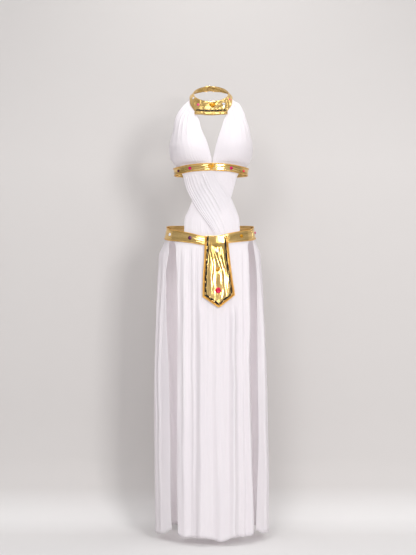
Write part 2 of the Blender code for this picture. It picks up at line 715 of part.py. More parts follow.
def flap_point(x, z, lift):
    """A point of the flap's inner side, moved outwards by lift."""
    x, z = np.asarray(x, float), np.asarray(z, float)
    left, right = along(FLAP, "z", z, "left"), along(FLAP, "z", z, "right")
    v = np.clip((x - left) / (right - left), 0, 1)
    clear = ease((-0.505 - z) / 0.05)
    over = BAND + BAND_WALL + PIPING + 2 * GAP
    hung = OVER + CLOTH + FLAP_HANG
    ripple = 0.0012 * np.sin(2 * np.pi * (v * 3.2 + 0.1 * np.sin(60 * z))) ** 2
    ripple *= ease((v - 0.22) / 0.1) * ease((0.78 - v) / 0.1) * ease((-0.50 - z) / 0.03)
    ripple *= ease((z + 0.665) / 0.03)
    out = over + (hung - over) * clear + ripple + lift
    figure = oval(FIGURE, front_angle(FIGURE, x, z, out), z, out)
    drape = oval(DRAPE, front_angle(DRAPE, x, z, out), z, out)
    mix = ease((HIP - z) / HIP_BLEND)[..., None]
    return figure * (1 - mix) + drape * mix


def flap_tip():
    """How far across the flap its point is."""
    return (FLAP_POINT[0] - FLAP_FOOT[0]) / (FLAP_FOOT[1] - FLAP_FOOT[0])


def flap_floor(v):
    """The height of the flap's lower edge across it."""
    tip = flap_tip()
    left = FLAP_CORNERS[0] + (FLAP_POINT[1] - FLAP_CORNERS[0]) * v / tip
    right = FLAP_CORNERS[1] + (FLAP_POINT[1] - FLAP_CORNERS[1]) * (1 - v) / (1 - tip)
    return np.where(v < tip, left, right)


def flap_edge(inset, steps):
    """A path along the flap's left side, round its point and up its right side, as x and z."""
    path = []
    tip_x, tip_z = FLAP_POINT
    for z in np.linspace(FLAP_TOP - 0.002, FLAP_CORNERS[0] + 0.6 * inset, steps):
        path.append((along(FLAP, "z", z, "left") + inset, z))
    path.append((tip_x - 0.004, tip_z + 1.12 * inset + 0.002))
    path.append((tip_x, tip_z + 1.18 * inset))
    path.append((tip_x + 0.004, tip_z + 1.12 * inset + 0.002))
    for z in np.linspace(FLAP_CORNERS[1] + 0.6 * inset, FLAP_TOP - 0.002, steps):
        path.append((along(FLAP, "z", z, "right") - inset, z))
    return np.array(path)


def spread(path, pitch):
    """The path with points at even steps along it, keeping its corners."""
    made = [path[0]]
    for one, two in zip(path, path[1:]):
        steps = max(1, int(round(np.linalg.norm(two - one) / pitch)))
        made += [one + (two - one) * (i + 1) / steps for i in range(steps)]
    return np.array(made)


def make_flap():
    """The flap with its cord binding and its braid."""
    v = np.linspace(0, 1, 15)
    v[np.argmin(abs(v - flap_tip()))] = flap_tip()
    u = np.linspace(0, 1, 11)[:, None]
    z = FLAP_TOP + (flap_floor(v)[None] - FLAP_TOP) * u
    left, right = along(FLAP, "z", z, "left"), along(FLAP, "z", z, "right")
    x = left + (right - left) * v[None]
    shell("flap", flap_point(x, z, FLAP_WALL), flap_point(x, z, 0.0), (GOLD, 1.0, 0.35))
    edge = spread(flap_edge(-BINDING - GAP, 12), 0.014)
    path = flap_point(edge[:, 0], edge[:, 1], BINDING + GAP)
    tube("flap_binding", path, BINDING, (ORANGE_GOLD, 1.0, 0.35), 6)
    one = spread(flap_edge(BRAID_IN, 12), 0.013)
    two_edge = flap_edge(BRAID_IN + BRAID_WIDE, 12)
    two = np.array(spread_like(two_edge, flap_edge(BRAID_IN, 12), 0.013))
    x = np.stack([one[:, 0], two[:, 0]])
    z = np.stack([one[:, 1], two[:, 1]])
    low, high = FLAP_WALL + GAP + 0.0002, FLAP_WALL + GAP + 0.0014
    shell("flap_braid", flap_point(x, z, high), flap_point(x, z, low), (DARK, 0.6, 0.4))


def spread_like(path, other, pitch):
    """The path with as many points between its corners as the other path gets."""
    made = [path[0]]
    for i in range(len(path) - 1):
        steps = max(1, int(round(np.linalg.norm(other[i + 1] - other[i]) / pitch)))
        made += [path[i] + (path[i + 1] - path[i]) * (j + 1) / steps for j in range(steps)]
    return made


def make_skirt_front():
    """The front panel, from under the belt to the hem, open at both sides."""
    columns, count = 42, 15
    s = np.linspace(0, 1, columns)[None]
    u = np.linspace(0, 1, count - 2)[:, None] ** 1.15
    turn = np.radians(BELT_SEAMS[0] + (BELT_SEAMS[1] - BELT_SEAMS[0]) * s)
    top = skirt_top(turn)
    low = along(BELT, "angle", turned(turn), "bottom")
    first = oval(FIGURE, turn * 0.985, top, OVER)
    second = oval(FIGURE, turn * 0.98, low - 0.0005, OVER)
    x_hem = -0.112 + 0.258 * s
    hem = along(FRONT_HEM, "x", x_hem, "z")
    z = (low - 0.004) + (hem - low + 0.004) * u
    left, right = along(SLITS, "z", z, "front_left"), along(SLITS, "z", z, "front_right")
    x = left + (right - left) * s
    level = np.concatenate([first[..., 2], second[..., 2], z])
    wide = np.concatenate([first[..., 0], second[..., 0], x])
    base = front_base(wide, level, OVER)
    base[0], base[1] = first[0], second[0]
    raised = front_folds(wide, level)
    cloth("skirt_front", base, raised, CLOTH, (WHITE, 0.0, 0.8))


def skirt_top(turn):
    """The height of the skirt's top edge, hidden under the belt."""
    top, low = along(BELT, "angle", turned(turn), "top"), along(BELT, "angle", turned(turn), "bottom")
    return top + (low - top) * 0.62


def make_skirt_back():
    """The back panel, which comes round both sides to the slits."""
    columns, count = 58, 12
    s = np.linspace(0, 1, columns)
    u = np.linspace(0, 1, count - 2)[:, None]
    turn = np.radians(BELT_SEAMS[1] + 0.4 + (359.2 - BELT_SEAMS[1] + BELT_SEAMS[0]) * s)
    top = skirt_top(turn)
    hem = -1.4625 - 0.0170 * ease(np.minimum(s, 1 - s) / 0.06) + 0.002 * np.sin(9 * turn)
    low = along(BELT, "angle", turned(turn), "bottom") - 0.0005
    z = (low - 0.006)[None] + (hem - low + 0.006)[None] * u ** 1.25
    z = np.concatenate([top[None], low[None], z])
    mix = ease((low - 0.004 - z) / 0.05)
    half = along(DRAPE, "z", z, "half")
    middle = along(DRAPE, "z", z, "middle")
    right = np.arcsin(np.clip((along(SLITS, "z", z, "back_right") - middle) / half, 0, 0.99))
    left = np.arcsin(np.clip((along(SLITS, "z", z, "back_left") - middle) / half, -0.99, 0))
    open_turn = right + (2 * np.pi + left - right) * s[None]
    angle = turn[None] * (1 - mix) + open_turn * mix
    figure = oval(FIGURE, angle, z, OVER)
    drape = oval_back(angle, z, OVER)
    base = figure * (1 - mix[..., None]) + drape * mix[..., None]
    down = np.clip((-0.50 - z) / 0.96, 0, 1)
    raised = np.zeros(z.shape)
    for f in rows(BACK_FOLDS):
        near, far = ease(down / 0.3), ease((down - 0.35) / 0.65)
        height = f["top"] + (f["mid"] - f["top"]) * near + (f["hem"] - f["mid"]) * far
        off = (np.degrees(angle) - f["angle"] + 180) % 360 - 180
        raised += height * bump(off / f["width"])
    raised *= ease((low - 0.001 - z) / 0.04)
    cloth("skirt_back", base, raised, CLOTH, (WHITE, 0.0, 0.8))


def oval_back(angle, z, lift):
    """The back panel's plain surface: its front edges keep their own depth."""
    point = oval(DRAPE, angle, z, lift)
    edge = along(SLITS, "z", z, "back_edge")
    deep = along(DRAPE, "z", z, "front")
    ahead = np.cos(angle) > 0
    point[..., 1] = np.where(ahead, point[..., 1] * np.minimum(1, 1.62 * -edge / deep), point[..., 1])
    return point


def main():
    for obj in list(bpy.data.objects):
        bpy.data.objects.remove(obj)
    make_collar()
    make_halter("halter_left", HALTER_LEFT, -1)
    make_halter("halter_right", HALTER_RIGHT, 1)
    make_wrap("wrap_under", WRAP_UNDER, UNDER, under_shows)
    make_wrap("wrap_over", WRAP_OVER, OVER, lambda x, z: 1.0)
    make_bands()
    make_skirt_front()
    make_skirt_back()
    make_flap()
    for item in rows(STONES):
        stone(item)


main()
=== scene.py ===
"""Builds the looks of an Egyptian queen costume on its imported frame, with its stage."""

import math

import bmesh
import bpy
import numpy as np
from bpy.props import FloatProperty, FloatVectorProperty, PointerProperty
from mathutils import Matrix, Vector


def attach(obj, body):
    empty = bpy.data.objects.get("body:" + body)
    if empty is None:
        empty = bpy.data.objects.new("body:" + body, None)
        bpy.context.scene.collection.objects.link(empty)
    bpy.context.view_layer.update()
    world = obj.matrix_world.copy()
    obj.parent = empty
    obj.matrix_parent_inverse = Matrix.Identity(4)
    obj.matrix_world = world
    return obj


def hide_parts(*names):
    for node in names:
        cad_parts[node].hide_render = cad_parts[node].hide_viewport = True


bl_info = {
    "name": "Egyptian Queen Costume",
    "version": (1, 0, 0),
    "blender": (4, 5, 0),
    "location": "View3D > Sidebar > Costume",
    "description": "Builds a halter costume with gold trim, crossed wraps and a skirt of two panels",
    "category": "Add Mesh",
}

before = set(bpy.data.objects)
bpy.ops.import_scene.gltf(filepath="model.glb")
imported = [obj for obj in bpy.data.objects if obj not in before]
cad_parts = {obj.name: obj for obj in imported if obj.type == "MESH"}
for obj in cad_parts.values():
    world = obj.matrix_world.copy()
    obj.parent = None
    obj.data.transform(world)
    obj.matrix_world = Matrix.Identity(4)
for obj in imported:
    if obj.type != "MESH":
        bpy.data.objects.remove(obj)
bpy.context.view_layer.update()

# Layers of cloth, measured outwards from the worn form, as in the frame
CLOTH = 0.0012
GAP = 0.0003
OVER = 0.0020
BAND = OVER + CLOTH + 1.3 * GAP
BAND_WALL = 0.0018
PIPING = 0.0011
COLLAR_WALL = 0.0020

# The form under straps, band and belt: height, half width, depth in front and behind, middle
FORM = (
    ("z", "half", "front", "back", "middle"),
    (-0.225, 0.1250, 0.098, 0.089, 0.0000),
    (-0.260, 0.1210, 0.095, 0.087, 0.0000),
    (-0.330, 0.1090, 0.088, 0.084, 0.0000),
    (-0.386, 0.1190, 0.093, 0.092, -0.0010),
    (-0.430, 0.1385, 0.100, 0.104, -0.0022),
    (-0.485, 0.1500, 0.106, 0.114, -0.0032),
    (-0.520, 0.1560, 0.109, 0.119, -0.0035),
)
# The collar is a tilted cone: its top oval, then its flare from upright and the height of its wall
COLLAR_ACROSS, COLLAR_DEEP, COLLAR_TILT, COLLAR_BACK = 0.059, 0.057, 0.033, 0.010
COLLAR = (
    ("angle", "flare", "depth"),
    (0, 26, 0.0482),
    (20, 27, 0.0484),
    (38, 31, 0.0530),
    (44, 33, 0.0460),
    (60, 38, 0.0350),
    (80, 44, 0.0215),
    (100, 45, 0.0205),
    (140, 42, 0.0215),
    (180, 40, 0.0220),
)
COLLAR_ENDS = (-171, 199)
COLLAR_ARC = 0.078
COLLAR_FRONT = 0.075
COLLAR_HEART = 0.0049
ROLL = 0.0050
ROLL_LIFT = 0.0032
ROLL_SPAN = 37.4
# Both closures lap at the back: the angle where a lap starts to rise, and how long it takes
LAP_START, LAP_LENGTH = 174, 11
# Top and bottom edge of the bust band and the belt, by degrees from the front
BUST_BAND = (
    ("angle", "top", "bottom"),
    (0, -0.2360, -0.2610),
    (25, -0.2378, -0.2628),
    (60, -0.2450, -0.2705),
    (90, -0.2475, -0.2730),
    (180, -0.2475, -0.2730),
)
BELT = (
    ("angle", "top", "bottom"),
    (0, -0.4805, -0.5100),
    (8, -0.4790, -0.5090),
    (26, -0.4685, -0.5015),
    (45, -0.4605, -0.4965),
    (65, -0.4545, -0.4925),
    (90, -0.4435, -0.4850),
    (130, -0.4385, -0.4820),
    (180, -0.4370, -0.4810),
)
BAND_ENDS = (-170, 200)
BAND_ARC = 0.115
PIPING_CORD, PIPING_OUT, PIPING_IN = 0.00145, 0.0019, 0.0014
BELT_SEAMS = (-62.0, 68.0)
SEAM_HALF = 0.08
# Rows down a halter panel: its inner and its outer edge, and how far it bulges between them
HALTER_LEFT = (
    ("in_x", "in_y", "in_z", "out_x", "out_y", "out_z", "bulge"),
    (-0.0461, -0.066, -0.0798, -0.0898, -0.015, -0.0334, 0.007),
    (-0.0398, -0.072, -0.0932, -0.1085, -0.028, -0.0587, 0.012),
    (-0.0353, -0.080, -0.1132, -0.1201, -0.038, -0.0859, 0.018),
    (-0.0292, -0.088, -0.1318, -0.1257, -0.045, -0.1197, 0.027),
    (-0.0169, -0.095, -0.1592, -0.1330, -0.048, -0.1483, 0.035),
    (-0.0082, -0.098, -0.1861, -0.1394, -0.048, -0.1779, 0.040),
    (-0.0022, -0.098, -0.2094, -0.1365, -0.045, -0.2116, 0.037),
    (0.0014, -0.098, -0.2259, -0.1248, -0.041, -0.2332, 0.026),
)
HALTER_RIGHT = (
    ("in_x", "in_y", "in_z", "out_x", "out_y", "out_z", "bulge"),
    (0.0500, -0.066, -0.0785, 0.0945, -0.015, -0.0300, 0.007),
    (0.0433, -0.072, -0.0899, 0.1091, -0.028, -0.0577, 0.012),
    (0.0376, -0.080, -0.1109, 0.1175, -0.038, -0.0859, 0.018),
    (0.0318, -0.088, -0.1284, 0.1265, -0.045, -0.1150, 0.027),
    (0.0238, -0.095, -0.1525, 0.1321, -0.048, -0.1436, 0.035),
    (0.0158, -0.098, -0.1811, 0.1382, -0.048, -0.1746, 0.040),
    (0.0110, -0.098, -0.2044, 0.1366, -0.045, -0.2063, 0.037),
    (0.0064, -0.098, -0.2243, 0.1263, -0.041, -0.2310, 0.026),
)
# A halter panel under the collar: its degrees from the front there, and how far rows lie past the edge
HALTER_START, HALTER_SWEEP = 39.5, 44
HALTER_TOP_ROWS = (-0.011, -0.004, 0.003)
# Under the bust band: its outer corner, and where rows lie between the band's edges
HALTER_CORNER = 0.1165
HALTER_LOW_ROWS = (-0.12, 0.45)
# Gathers of a halter panel: place from inner to outer edge, width, height, and how far down it runs
HALTER_FOLDS = (
    ("place", "width", "height", "reach"),
    (0.03, 0.022, 0.0010, 0.45),
    (0.10, 0.038, 0.0014, 0.52),
    (0.18, 0.020, 0.0008, 0.40),
    (0.26, 0.036, 0.0018, 0.56),
    (0.345, 0.020, 0.0009, 0.42),
    (0.42, 0.032, 0.0022, 0.58),
    (0.50, 0.018, 0.0010, 0.40),
    (0.57, 0.030, 0.0024, 0.55),
    (0.645, 0.018, 0.0010, 0.42),
    (0.72, 0.034, 0.0022, 0.60),
    (0.80, 0.020, 0.0010, 0.45),
    (0.88, 0.036, 0.0018, 0.62),
    (0.96, 0.020, 0.0010, 0.50),
)
# Rows down a strap: its lower and its upper edge, seen from the front
WRAP_OVER = (
    ("low_x", "low_z", "high_x", "high_z"),
    (-0.1000, -0.2600, 0.0060, -0.2505),
    (-0.0936, -0.2779, 0.0200, -0.2800),
    (-0.0840, -0.3140, 0.0399, -0.3116),
    (-0.0629, -0.3604, 0.0666, -0.3517),
    (-0.0439, -0.3941, 0.0852, -0.3941),
    (-0.0120, -0.4380, 0.0945, -0.4280),
    (0.0040, -0.4610, 0.0956, -0.4560),
    (0.0180, -0.4900, 0.0980, -0.4760),
)
WRAP_UNDER = (
    ("low_x", "low_z", "high_x", "high_z"),
    (0.0960, -0.2600, -0.0060, -0.2505),
    (0.0872, -0.2779, -0.0200, -0.2800),
    (0.0789, -0.3060, -0.0380, -0.3116),
    (0.0640, -0.3560, -0.0610, -0.3560),
    (0.0450, -0.3900, -0.0775, -0.3960),
    (0.0165, -0.4320, -0.0882, -0.4213),
    (0.0170, -0.4620, -0.0892, -0.4577),
    (0.0230, -0.4880, -0.0900, -0.4760),
)
# Creases of a wrap: place across it, width, height, and the stretch along it where it stands
WRAP_FOLDS = (
    ("place", "width", "height", "start", "end"),
    (0.020, 0.016, 0.0016, 0.0, 1.0),
    (0.072, 0.018, 0.0026, 0.0, 1.0),
    (0.125, 0.020, 0.0020, 0.0, 0.9),
    (0.190, 0.022, 0.0012, 0.05, 0.7),
    (0.270, 0.034, 0.0020, 0.1, 1.0),
    (0.370, 0.040, 0.0014, 0.0, 0.75),
    (0.470, 0.036, 0.0022, 0.2, 1.0),
    (0.590, 0.032, 0.0034, 0.0, 0.62),
    (0.660, 0.024, 0.0014, 0.0, 0.45),
    (0.780, 0.040, 0.0010, 0.3, 1.0),
    (0.950, 0.024, 0.0012, 0.0, 1.0),
)
MOST_RAISED = 0.0050
# The hanging skirt without its folds, with sections as in FORM, and its open edges at the two slits
DRAPE = (
    ("z", "half", "front", "back", "middle"),
    (-0.485, 0.1515, 0.1075, 0.1155, -0.0032),
    (-0.515, 0.1615, 0.1110, 0.1200, -0.0040),
    (-0.545, 0.1685, 0.1150, 0.1240, -0.0046),
    (-0.575, 0.1700, 0.1190, 0.1270, -0.0046),
    (-0.632, 0.1730, 0.1240, 0.1310, -0.0041),
    (-0.785, 0.1785, 0.1300, 0.1370, -0.0029),
    (-0.965, 0.1853, 0.1330, 0.1430, -0.0014),
    (-1.118, 0.1868, 0.1340, 0.1460, -0.0002),
    (-1.254, 0.1878, 0.1350, 0.1480, 0.0022),
    (-1.480, 0.1862, 0.1360, 0.1500, 0.0041),
)
SLITS = (
    ("z", "front_left", "front_right", "back_left", "back_right", "back_edge"),
    (-0.485, -0.1275, 0.1315, -0.1335, 0.1375, -0.0590),
    (-0.515, -0.1175, 0.1225, -0.1350, 0.1408, -0.0600),
    (-0.561, -0.1140, 0.1238, -0.1444, 0.1475, -0.0590),
    (-0.610, -0.1108, 0.1250, -0.1500, 0.1515, -0.0590),
    (-0.745, -0.1085, 0.1270, -0.1485, 0.1536, -0.0600),
    (-0.927, -0.1095, 0.1252, -0.1404, 0.1540, -0.0620),
    (-1.173, -0.1098, 0.1298, -0.1350, 0.1575, -0.0640),
    (-1.364, -0.1090, 0.1335, -0.1334, 0.1512, -0.0640),
    (-1.480, -0.1064, 0.1420, -0.1276, 0.1475, -0.0620),
)
# From form to hanging skirt, and the stretch over which the skirt's folds grow
HIP_BREAK, HIP_BLEND = -0.497, 0.02
SKIRT_LENGTH = 0.96
FRONT_HEM = (
    ("x", "z"),
    (-0.112, -1.4685),
    (-0.091, -1.4765),
    (-0.033, -1.4735),
    (0.000, -1.4800),
    (0.030, -1.4875),
    (0.051, -1.4835),
    (0.0725, -1.4735),
    (0.123, -1.4750),
    (0.146, -1.4625),
)
# Folds of the two panels: where each stands, its width, and its height at the top, the middle and the hem
FRONT_FOLDS = (
    ("x_top", "x_mid", "x_hem", "width", "top", "mid", "hem"),
    (-0.1120, -0.1060, -0.1040, 0.0080, 0.0020, 0.0050, 0.0060),
    (-0.0880, -0.0869, -0.0840, 0.0110, 0.0040, 0.0110, 0.0100),
    (-0.0590, -0.0580, -0.0570, 0.0050, 0.0030, 0.0040, 0.0020),
    (-0.0360, -0.0314, -0.0320, 0.0125, 0.0025, 0.0120, 0.0150),
    (-0.0100, -0.0080, -0.0100, 0.0080, 0.0020, 0.0040, 0.0050),
    (0.0150, 0.0200, 0.0290, 0.0110, 0.0020, 0.0050, 0.0090),
    (0.0400, 0.0420, 0.0480, 0.0090, 0.0020, 0.0045, 0.0060),
    (0.0690, 0.0718, 0.0730, 0.0095, 0.0035, 0.0150, 0.0160),
    (0.0960, 0.1020, 0.1060, 0.0060, 0.0030, 0.0050, 0.0060),
    (0.1180, 0.1190, 0.1290, 0.0085, 0.0030, 0.0120, 0.0130),
)
BACK_FOLDS = (
    ("angle", "width", "top", "mid", "hem"),
    (-66, 3.2, 0.0010, 0.0050, 0.0020),
    (-77, 3.4, 0.0015, 0.0060, 0.0030),
    (-92, 4.0, 0.0012, 0.0035, 0.0035),
    (-112, 6.0, 0.0020, 0.0090, 0.0120),
    (-134, 6.5, 0.0020, 0.0100, 0.0140),
    (-157, 6.5, 0.0020, 0.0110, 0.0150),
    (180, 6.5, 0.0020, 0.0100, 0.0140),
    (157, 6.5, 0.0020, 0.0110, 0.0150),
    (134, 6.5, 0.0020, 0.0100, 0.0140),
    (112, 6.0, 0.0020, 0.0090, 0.0120),
    (92, 4.0, 0.0012, 0.0035, 0.0035),
    (73, 3.6, 0.0015, 0.0060, 0.0040),
)
BACK_HEM, BACK_HEM_DROP = -1.4625, 0.0170

FLAP_WALL = 0.0016
FLAP_CLEAR = 0.0052
FLAP_TOP = -0.4785
FLAP_POINT = (0.0261, -0.7125)
FLAP_CORNERS = (-0.679, -0.674)
FLAP = (
    ("z", "left", "right"),
    (-0.478, -0.0180, 0.0530),
    (-0.554, -0.0205, 0.0605),
    (-0.620, -0.0245, 0.0690),
    (-0.680, -0.0255, 0.0775),
    (-0.715, -0.0262, 0.0790),
)
# Where the flap's point is across its lower edge, from 0 to 1
FLAP_TIP = (FLAP_POINT[0] - FLAP[-1][1]) / (FLAP[-1][2] - FLAP[-1][1])
BINDING = 0.0018
# Two rows of sequins and one of beads, by their distance from the flap's edge
BRAID_ROWS = (0.0058, 0.0082)
BEAD_ROW, BEAD_PITCH, BEAD = 0.0016, 0.0030, (0.0018, 0.0021, 0.0014)
# Two rows of sequins on the collar, from its lower edge
COLLAR_BRAID_ROWS = (-0.0098, -0.0078)
COLLAR_BRAID_SPAN, COLLAR_BRAID_LENGTH = 37, 0.105

STONES = (
    ("name", "on", "x", "z", "shape", "radius", "rise", "colour"),
    ("collar_stone_heart", "collar", 0.0049, -0.0385, "heart", 0.0112, 0.0050, "amber"),
    ("collar_stone_pink", "collar", -0.0432, -0.0355, "round", 0.0048, 0.0030, "pink"),
    ("collar_stone_clear", "collar", 0.0423, -0.0332, "round", 0.0055, 0.0034, "clear"),
    ("collar_stone_left", "collar", -0.0592, -0.0103, "oval", 0.0046, 0.0030, "clear"),
    ("collar_stone_right", "collar", 0.0628, -0.0151, "round", 0.0040, 0.0028, "pink"),
    ("band_stone_heart", "band", -0.0002, -0.2485, "heart", 0.0105, 0.0048, "amber"),
    ("band_stone_magenta_left", "band", -0.0710, -0.2520, "round", 0.0057, 0.0034, "magenta"),
    ("band_stone_magenta_right", "band", 0.0680, -0.2520, "round", 0.0057, 0.0034, "magenta"),
    ("band_stone_purple", "band", -0.1100, -0.2585, "round", 0.0045, 0.0030, "purple"),
    ("band_stone_red", "band", 0.1100, -0.2590, "round", 0.0045, 0.0030, "red"),
    ("belt_stone_white", "belt", -0.1385, -0.4725, "round", 0.0060, 0.0036, "clear"),
    ("belt_stone_purple", "belt", -0.0711, -0.4850, "round", 0.0063, 0.0034, "purple"),
    ("belt_stone_amber", "belt", 0.1024, -0.4790, "round", 0.0060, 0.0034, "amber"),
    ("belt_stone_pink", "belt", 0.1500, -0.4655, "round", 0.0048, 0.0032, "pink"),
    ("flap_stone_clear", "flap", 0.0205, -0.5286, "round", 0.0057, 0.0040, "clear"),
    ("flap_stone_amber", "flap", 0.0219, -0.5902, "round", 0.0068, 0.0048, "amber"),
    ("flap_stone_red", "flap", 0.0235, -0.6593, "round", 0.0097, 0.0054, "red"),
)
# Rings of a cut stone from its back to its table: scale, height, and the share of a facet that it is turned
STONE_RINGS = ((0.93, 0.0, 0.0), (1.0, 0.30, 0.0), (0.84, 0.68, 0.5), (0.54, 1.0, 0.0))
HEART_UP = 0.12
HEART_FACETS, ROUND_FACETS = 18, 10
STONE_COLOURS = {
    "amber": (0.68, 0.29, 0.001),
    "pink": (0.90, 0.08, 0.26),
    "clear": (0.80, 0.81, 0.86),
    "magenta": (0.62, 0.003, 0.13),
    "purple": (0.10, 0.003, 0.08),
    "red": (0.78, 0.008, 0.07),
}

# Stage, in metres and watts. The lens is a pinhole's, from the photograph's height in pixels
CAMERA_AT = Vector((-0.0102, -4.6, -0.617))
SENSOR, PHOTO_HEIGHT_PX, FOCAL_PX = 36, 555, 1353
FLOOR_Z = -1.503
WALL_RISE = 2.1
SWEEP_SIZE, SWEEP_NEAR, SWEEP_BACK, SWEEP_BEND = 9.0, 4.6, 0.36, 0.20
LIGHTS = (
    ("name", "at", "aim", "size", "group", "power"),
    ("key", (1.7, -3.9, 0.45), (0, 0, -0.75), (1.0, 1.2), "key", 1.0),
    ("front", (-0.95, -3.95, 1.2), (0, 0, -1.1), (1.2, 1.2), "fill", 1.0),
    ("top", (0.2, -0.5, 2.3), (0, -0.3, -1.2), (2.2, 1.0), "fill", 0.4),
    ("glow", (0, -0.25, 1.25), (0, 0.36, 0.42), (0.3, 0.3), "", 7.0),
    ("inside", (0, -0.03, -1.0), (0, 0.15, -1.0), (0.07, 0.9), "", 0.55),
)
# Grey of the world from its middle to its sides
WORLD_SHADES = ((0.0, 0.95), (0.55, 0.88), (0.82, 0.80), (0.93, 0.70), (1.0, 0.62))
WORLD_STRENGTH = 0.62


def colour_setting(name, text, *value):
    """A colour that the sidebar shows."""
    return FloatVectorProperty(name=name, description=text, subtype="COLOR", default=value)


def length_setting(name, text, value, most):
    """A length that the sidebar shows, in metres."""
    return FloatProperty(name=name, description=text, unit="LENGTH", default=value, min=0.0, max=most)


def power_setting(name, text, value):
    """A lamp's power that the sidebar shows, in watts."""
    return FloatProperty(name=name, description=text, unit="POWER", default=value, min=0.0)


class CostumeLooks(bpy.types.PropertyGroup):
    """Colours and small sizes of the costume"""

    cloth: colour_setting("Cloth", "Colour of the stretch cloth", 0.88, 0.845, 0.87)
    gold: colour_setting("Gold", "Colour of the foil-printed gold cloth", 0.88, 0.60, 0.23)
    edge_gold: colour_setting("Edge gold", "Colour of the piping and binding", 0.96, 0.56, 0.11)
    dark: colour_setting("Dark sequins", "Colour of the dark sequins", 0.007, 0.005, 0.003)
    sequin: length_setting("Sequin", "Radius of a sequin", 0.0019, 0.004)
    hem: length_setting("Hem", "Height of the skirt's stitched hem", 0.014, 0.04)


class CostumeStage(bpy.types.PropertyGroup):
    """Floor and light of the stage"""

    floor: colour_setting("Floor", "Colour of floor and wall", 0.60, 0.575, 0.56)
    key: power_setting("Key light", "Power of the main light", 79.0)
    fill: power_setting("Fill light", "Power of the fill light", 40.0)


def looks():
    """The colours and sizes that the sidebar shows."""
    return bpy.context.scene.costume_looks


# Tables and curves


def rows(table):
    """The rows of a table as dicts."""
    return [dict(zip(table[0], row)) for row in table[1:]]


def hermite(start, end, leaving, arriving, u):
    """A smooth curve from start to end as u goes from 0 to 1, with its rise at both ends."""
    return (
        start * (1 + 2 * u) * (1 - u) ** 2
        + leaving * u * (1 - u) ** 2
        + end * u * u * (3 - 2 * u)
        + arriving * u * u * (u - 1)
    )


def along(table, key, at, column):
    """A column of a table, read smoothly at a value of its key, with no overshoot."""
    found = sorted((row[key], row[column]) for row in rows(table))
    x = np.array([f[0] for f in found])
    y = np.array([f[1] for f in found])
    at = np.clip(np.asarray(at, float), x[0], x[-1])
    step = np.diff(x)
    rise = np.diff(y) / step
    slope = np.zeros(len(x))
    slope[0], slope[-1] = rise[0], rise[-1]
    same = rise[:-1] * rise[1:] > 0
    both = np.where(same, rise[:-1] + rise[1:], 1)
    slope[1:-1] = np.where(same, 2 * rise[:-1] * rise[1:] / both, 0)
    i = np.clip(np.searchsorted(x, at, "right") - 1, 0, len(step) - 1)
    u = (at - x[i]) / step[i]
    return hermite(y[i], y[i + 1], slope[i] * step[i], slope[i + 1] * step[i], u)


def ease(x):
    """A smooth step from 0 to 1."""
    x = np.clip(x, 0, 1)
    return x * x * (3 - 2 * x)


def bump(x):
    """A rounded crest of height 1 and half width 1."""
    return np.exp(-np.asarray(x, float) ** 2)


def crease(x):
    """A sharper crest than bump, as pulled cloth has."""
    return 1 / (1 + np.asarray(x, float) ** 2 * 1.4) ** 1.6


def wander(x, seed):
    """A smooth curve that wanders between about -1 and 1."""
    x = np.asarray(x, float) + seed * 7.31
    return (np.sin(x) + np.sin(2.13 * x + 1.3 * seed) + 0.6 * np.sin(3.71 * x + 2.1 * seed)) / 2.2


# The surfaces that the frame's solids are made on


def oval(table, angle, z, lift):
    """A point on a half-oval section at an angle from the front, moved outwards by lift."""
    half = along(table, "z", z, "half")
    deep = np.where(np.cos(angle) > 0, along(table, "z", z, "front"), along(table, "z", z, "back"))
    nx, ny = np.sin(angle) / half, np.cos(angle) / deep
    size = np.hypot(nx, ny)
    x = along(table, "z", z, "middle") + half * np.sin(angle) + lift * nx / size
    y = -deep * np.cos(angle) - lift * ny / size
    return np.stack(np.broadcast_arrays(x, y, z), -1)


def front_angle(table, x, z, lift=0.0):
    """The angle at which the front of a section is x from the middle."""
    half = along(table, "z", z, "half") + lift
    return np.arcsin(np.clip((x - along(table, "z", z, "middle")) / half, -0.999, 0.999))


def turned(angle):
    """Degrees from the front, 0 to 180, on either side."""
    return np.degrees(np.abs((angle + np.pi) % (2 * np.pi) - np.pi))


def collar_point(angle, down, lift):
    """A point of the collar's outer side, so far down from its top edge and moved outwards by lift."""
    flare = np.radians(along(COLLAR, "angle", turned(angle), "flare"))
    out = down * np.sin(flare) + lift * np.cos(flare)
    x = COLLAR_ACROSS * np.sin(angle) + out * np.sin(angle)
    y = COLLAR_BACK - COLLAR_DEEP * np.cos(angle) - out * np.cos(angle)
    z = COLLAR_BACK - COLLAR_TILT * np.cos(angle) - down * np.cos(flare) + lift * np.sin(flare)
    return np.stack(np.broadcast_arrays(x, y, z), -1)


def collar_depth(angle):
    """The height of the collar's wall at an angle."""
    return along(COLLAR, "angle", turned(angle), "depth")


def normals(grid):
    """The unit normals of a grid of points, by differences."""
    n = np.cross(np.gradient(grid, axis=0), np.gradient(grid, axis=1))
    return n / np.linalg.norm(n, axis=-1, keepdims=True)


# Meshes


def new_piece(name, mesh, *materials):
    """Links a bmesh as one object at the origin, with smooth shading."""
    for face in mesh.faces:
        face.smooth = True
    data = bpy.data.meshes.new(name)
    mesh.to_mesh(data)
    mesh.free()
    for made in materials:
        data.materials.append(made)
    obj = bpy.data.objects.new(name, data)
    bpy.context.scene.collection.objects.link(obj)
    return obj


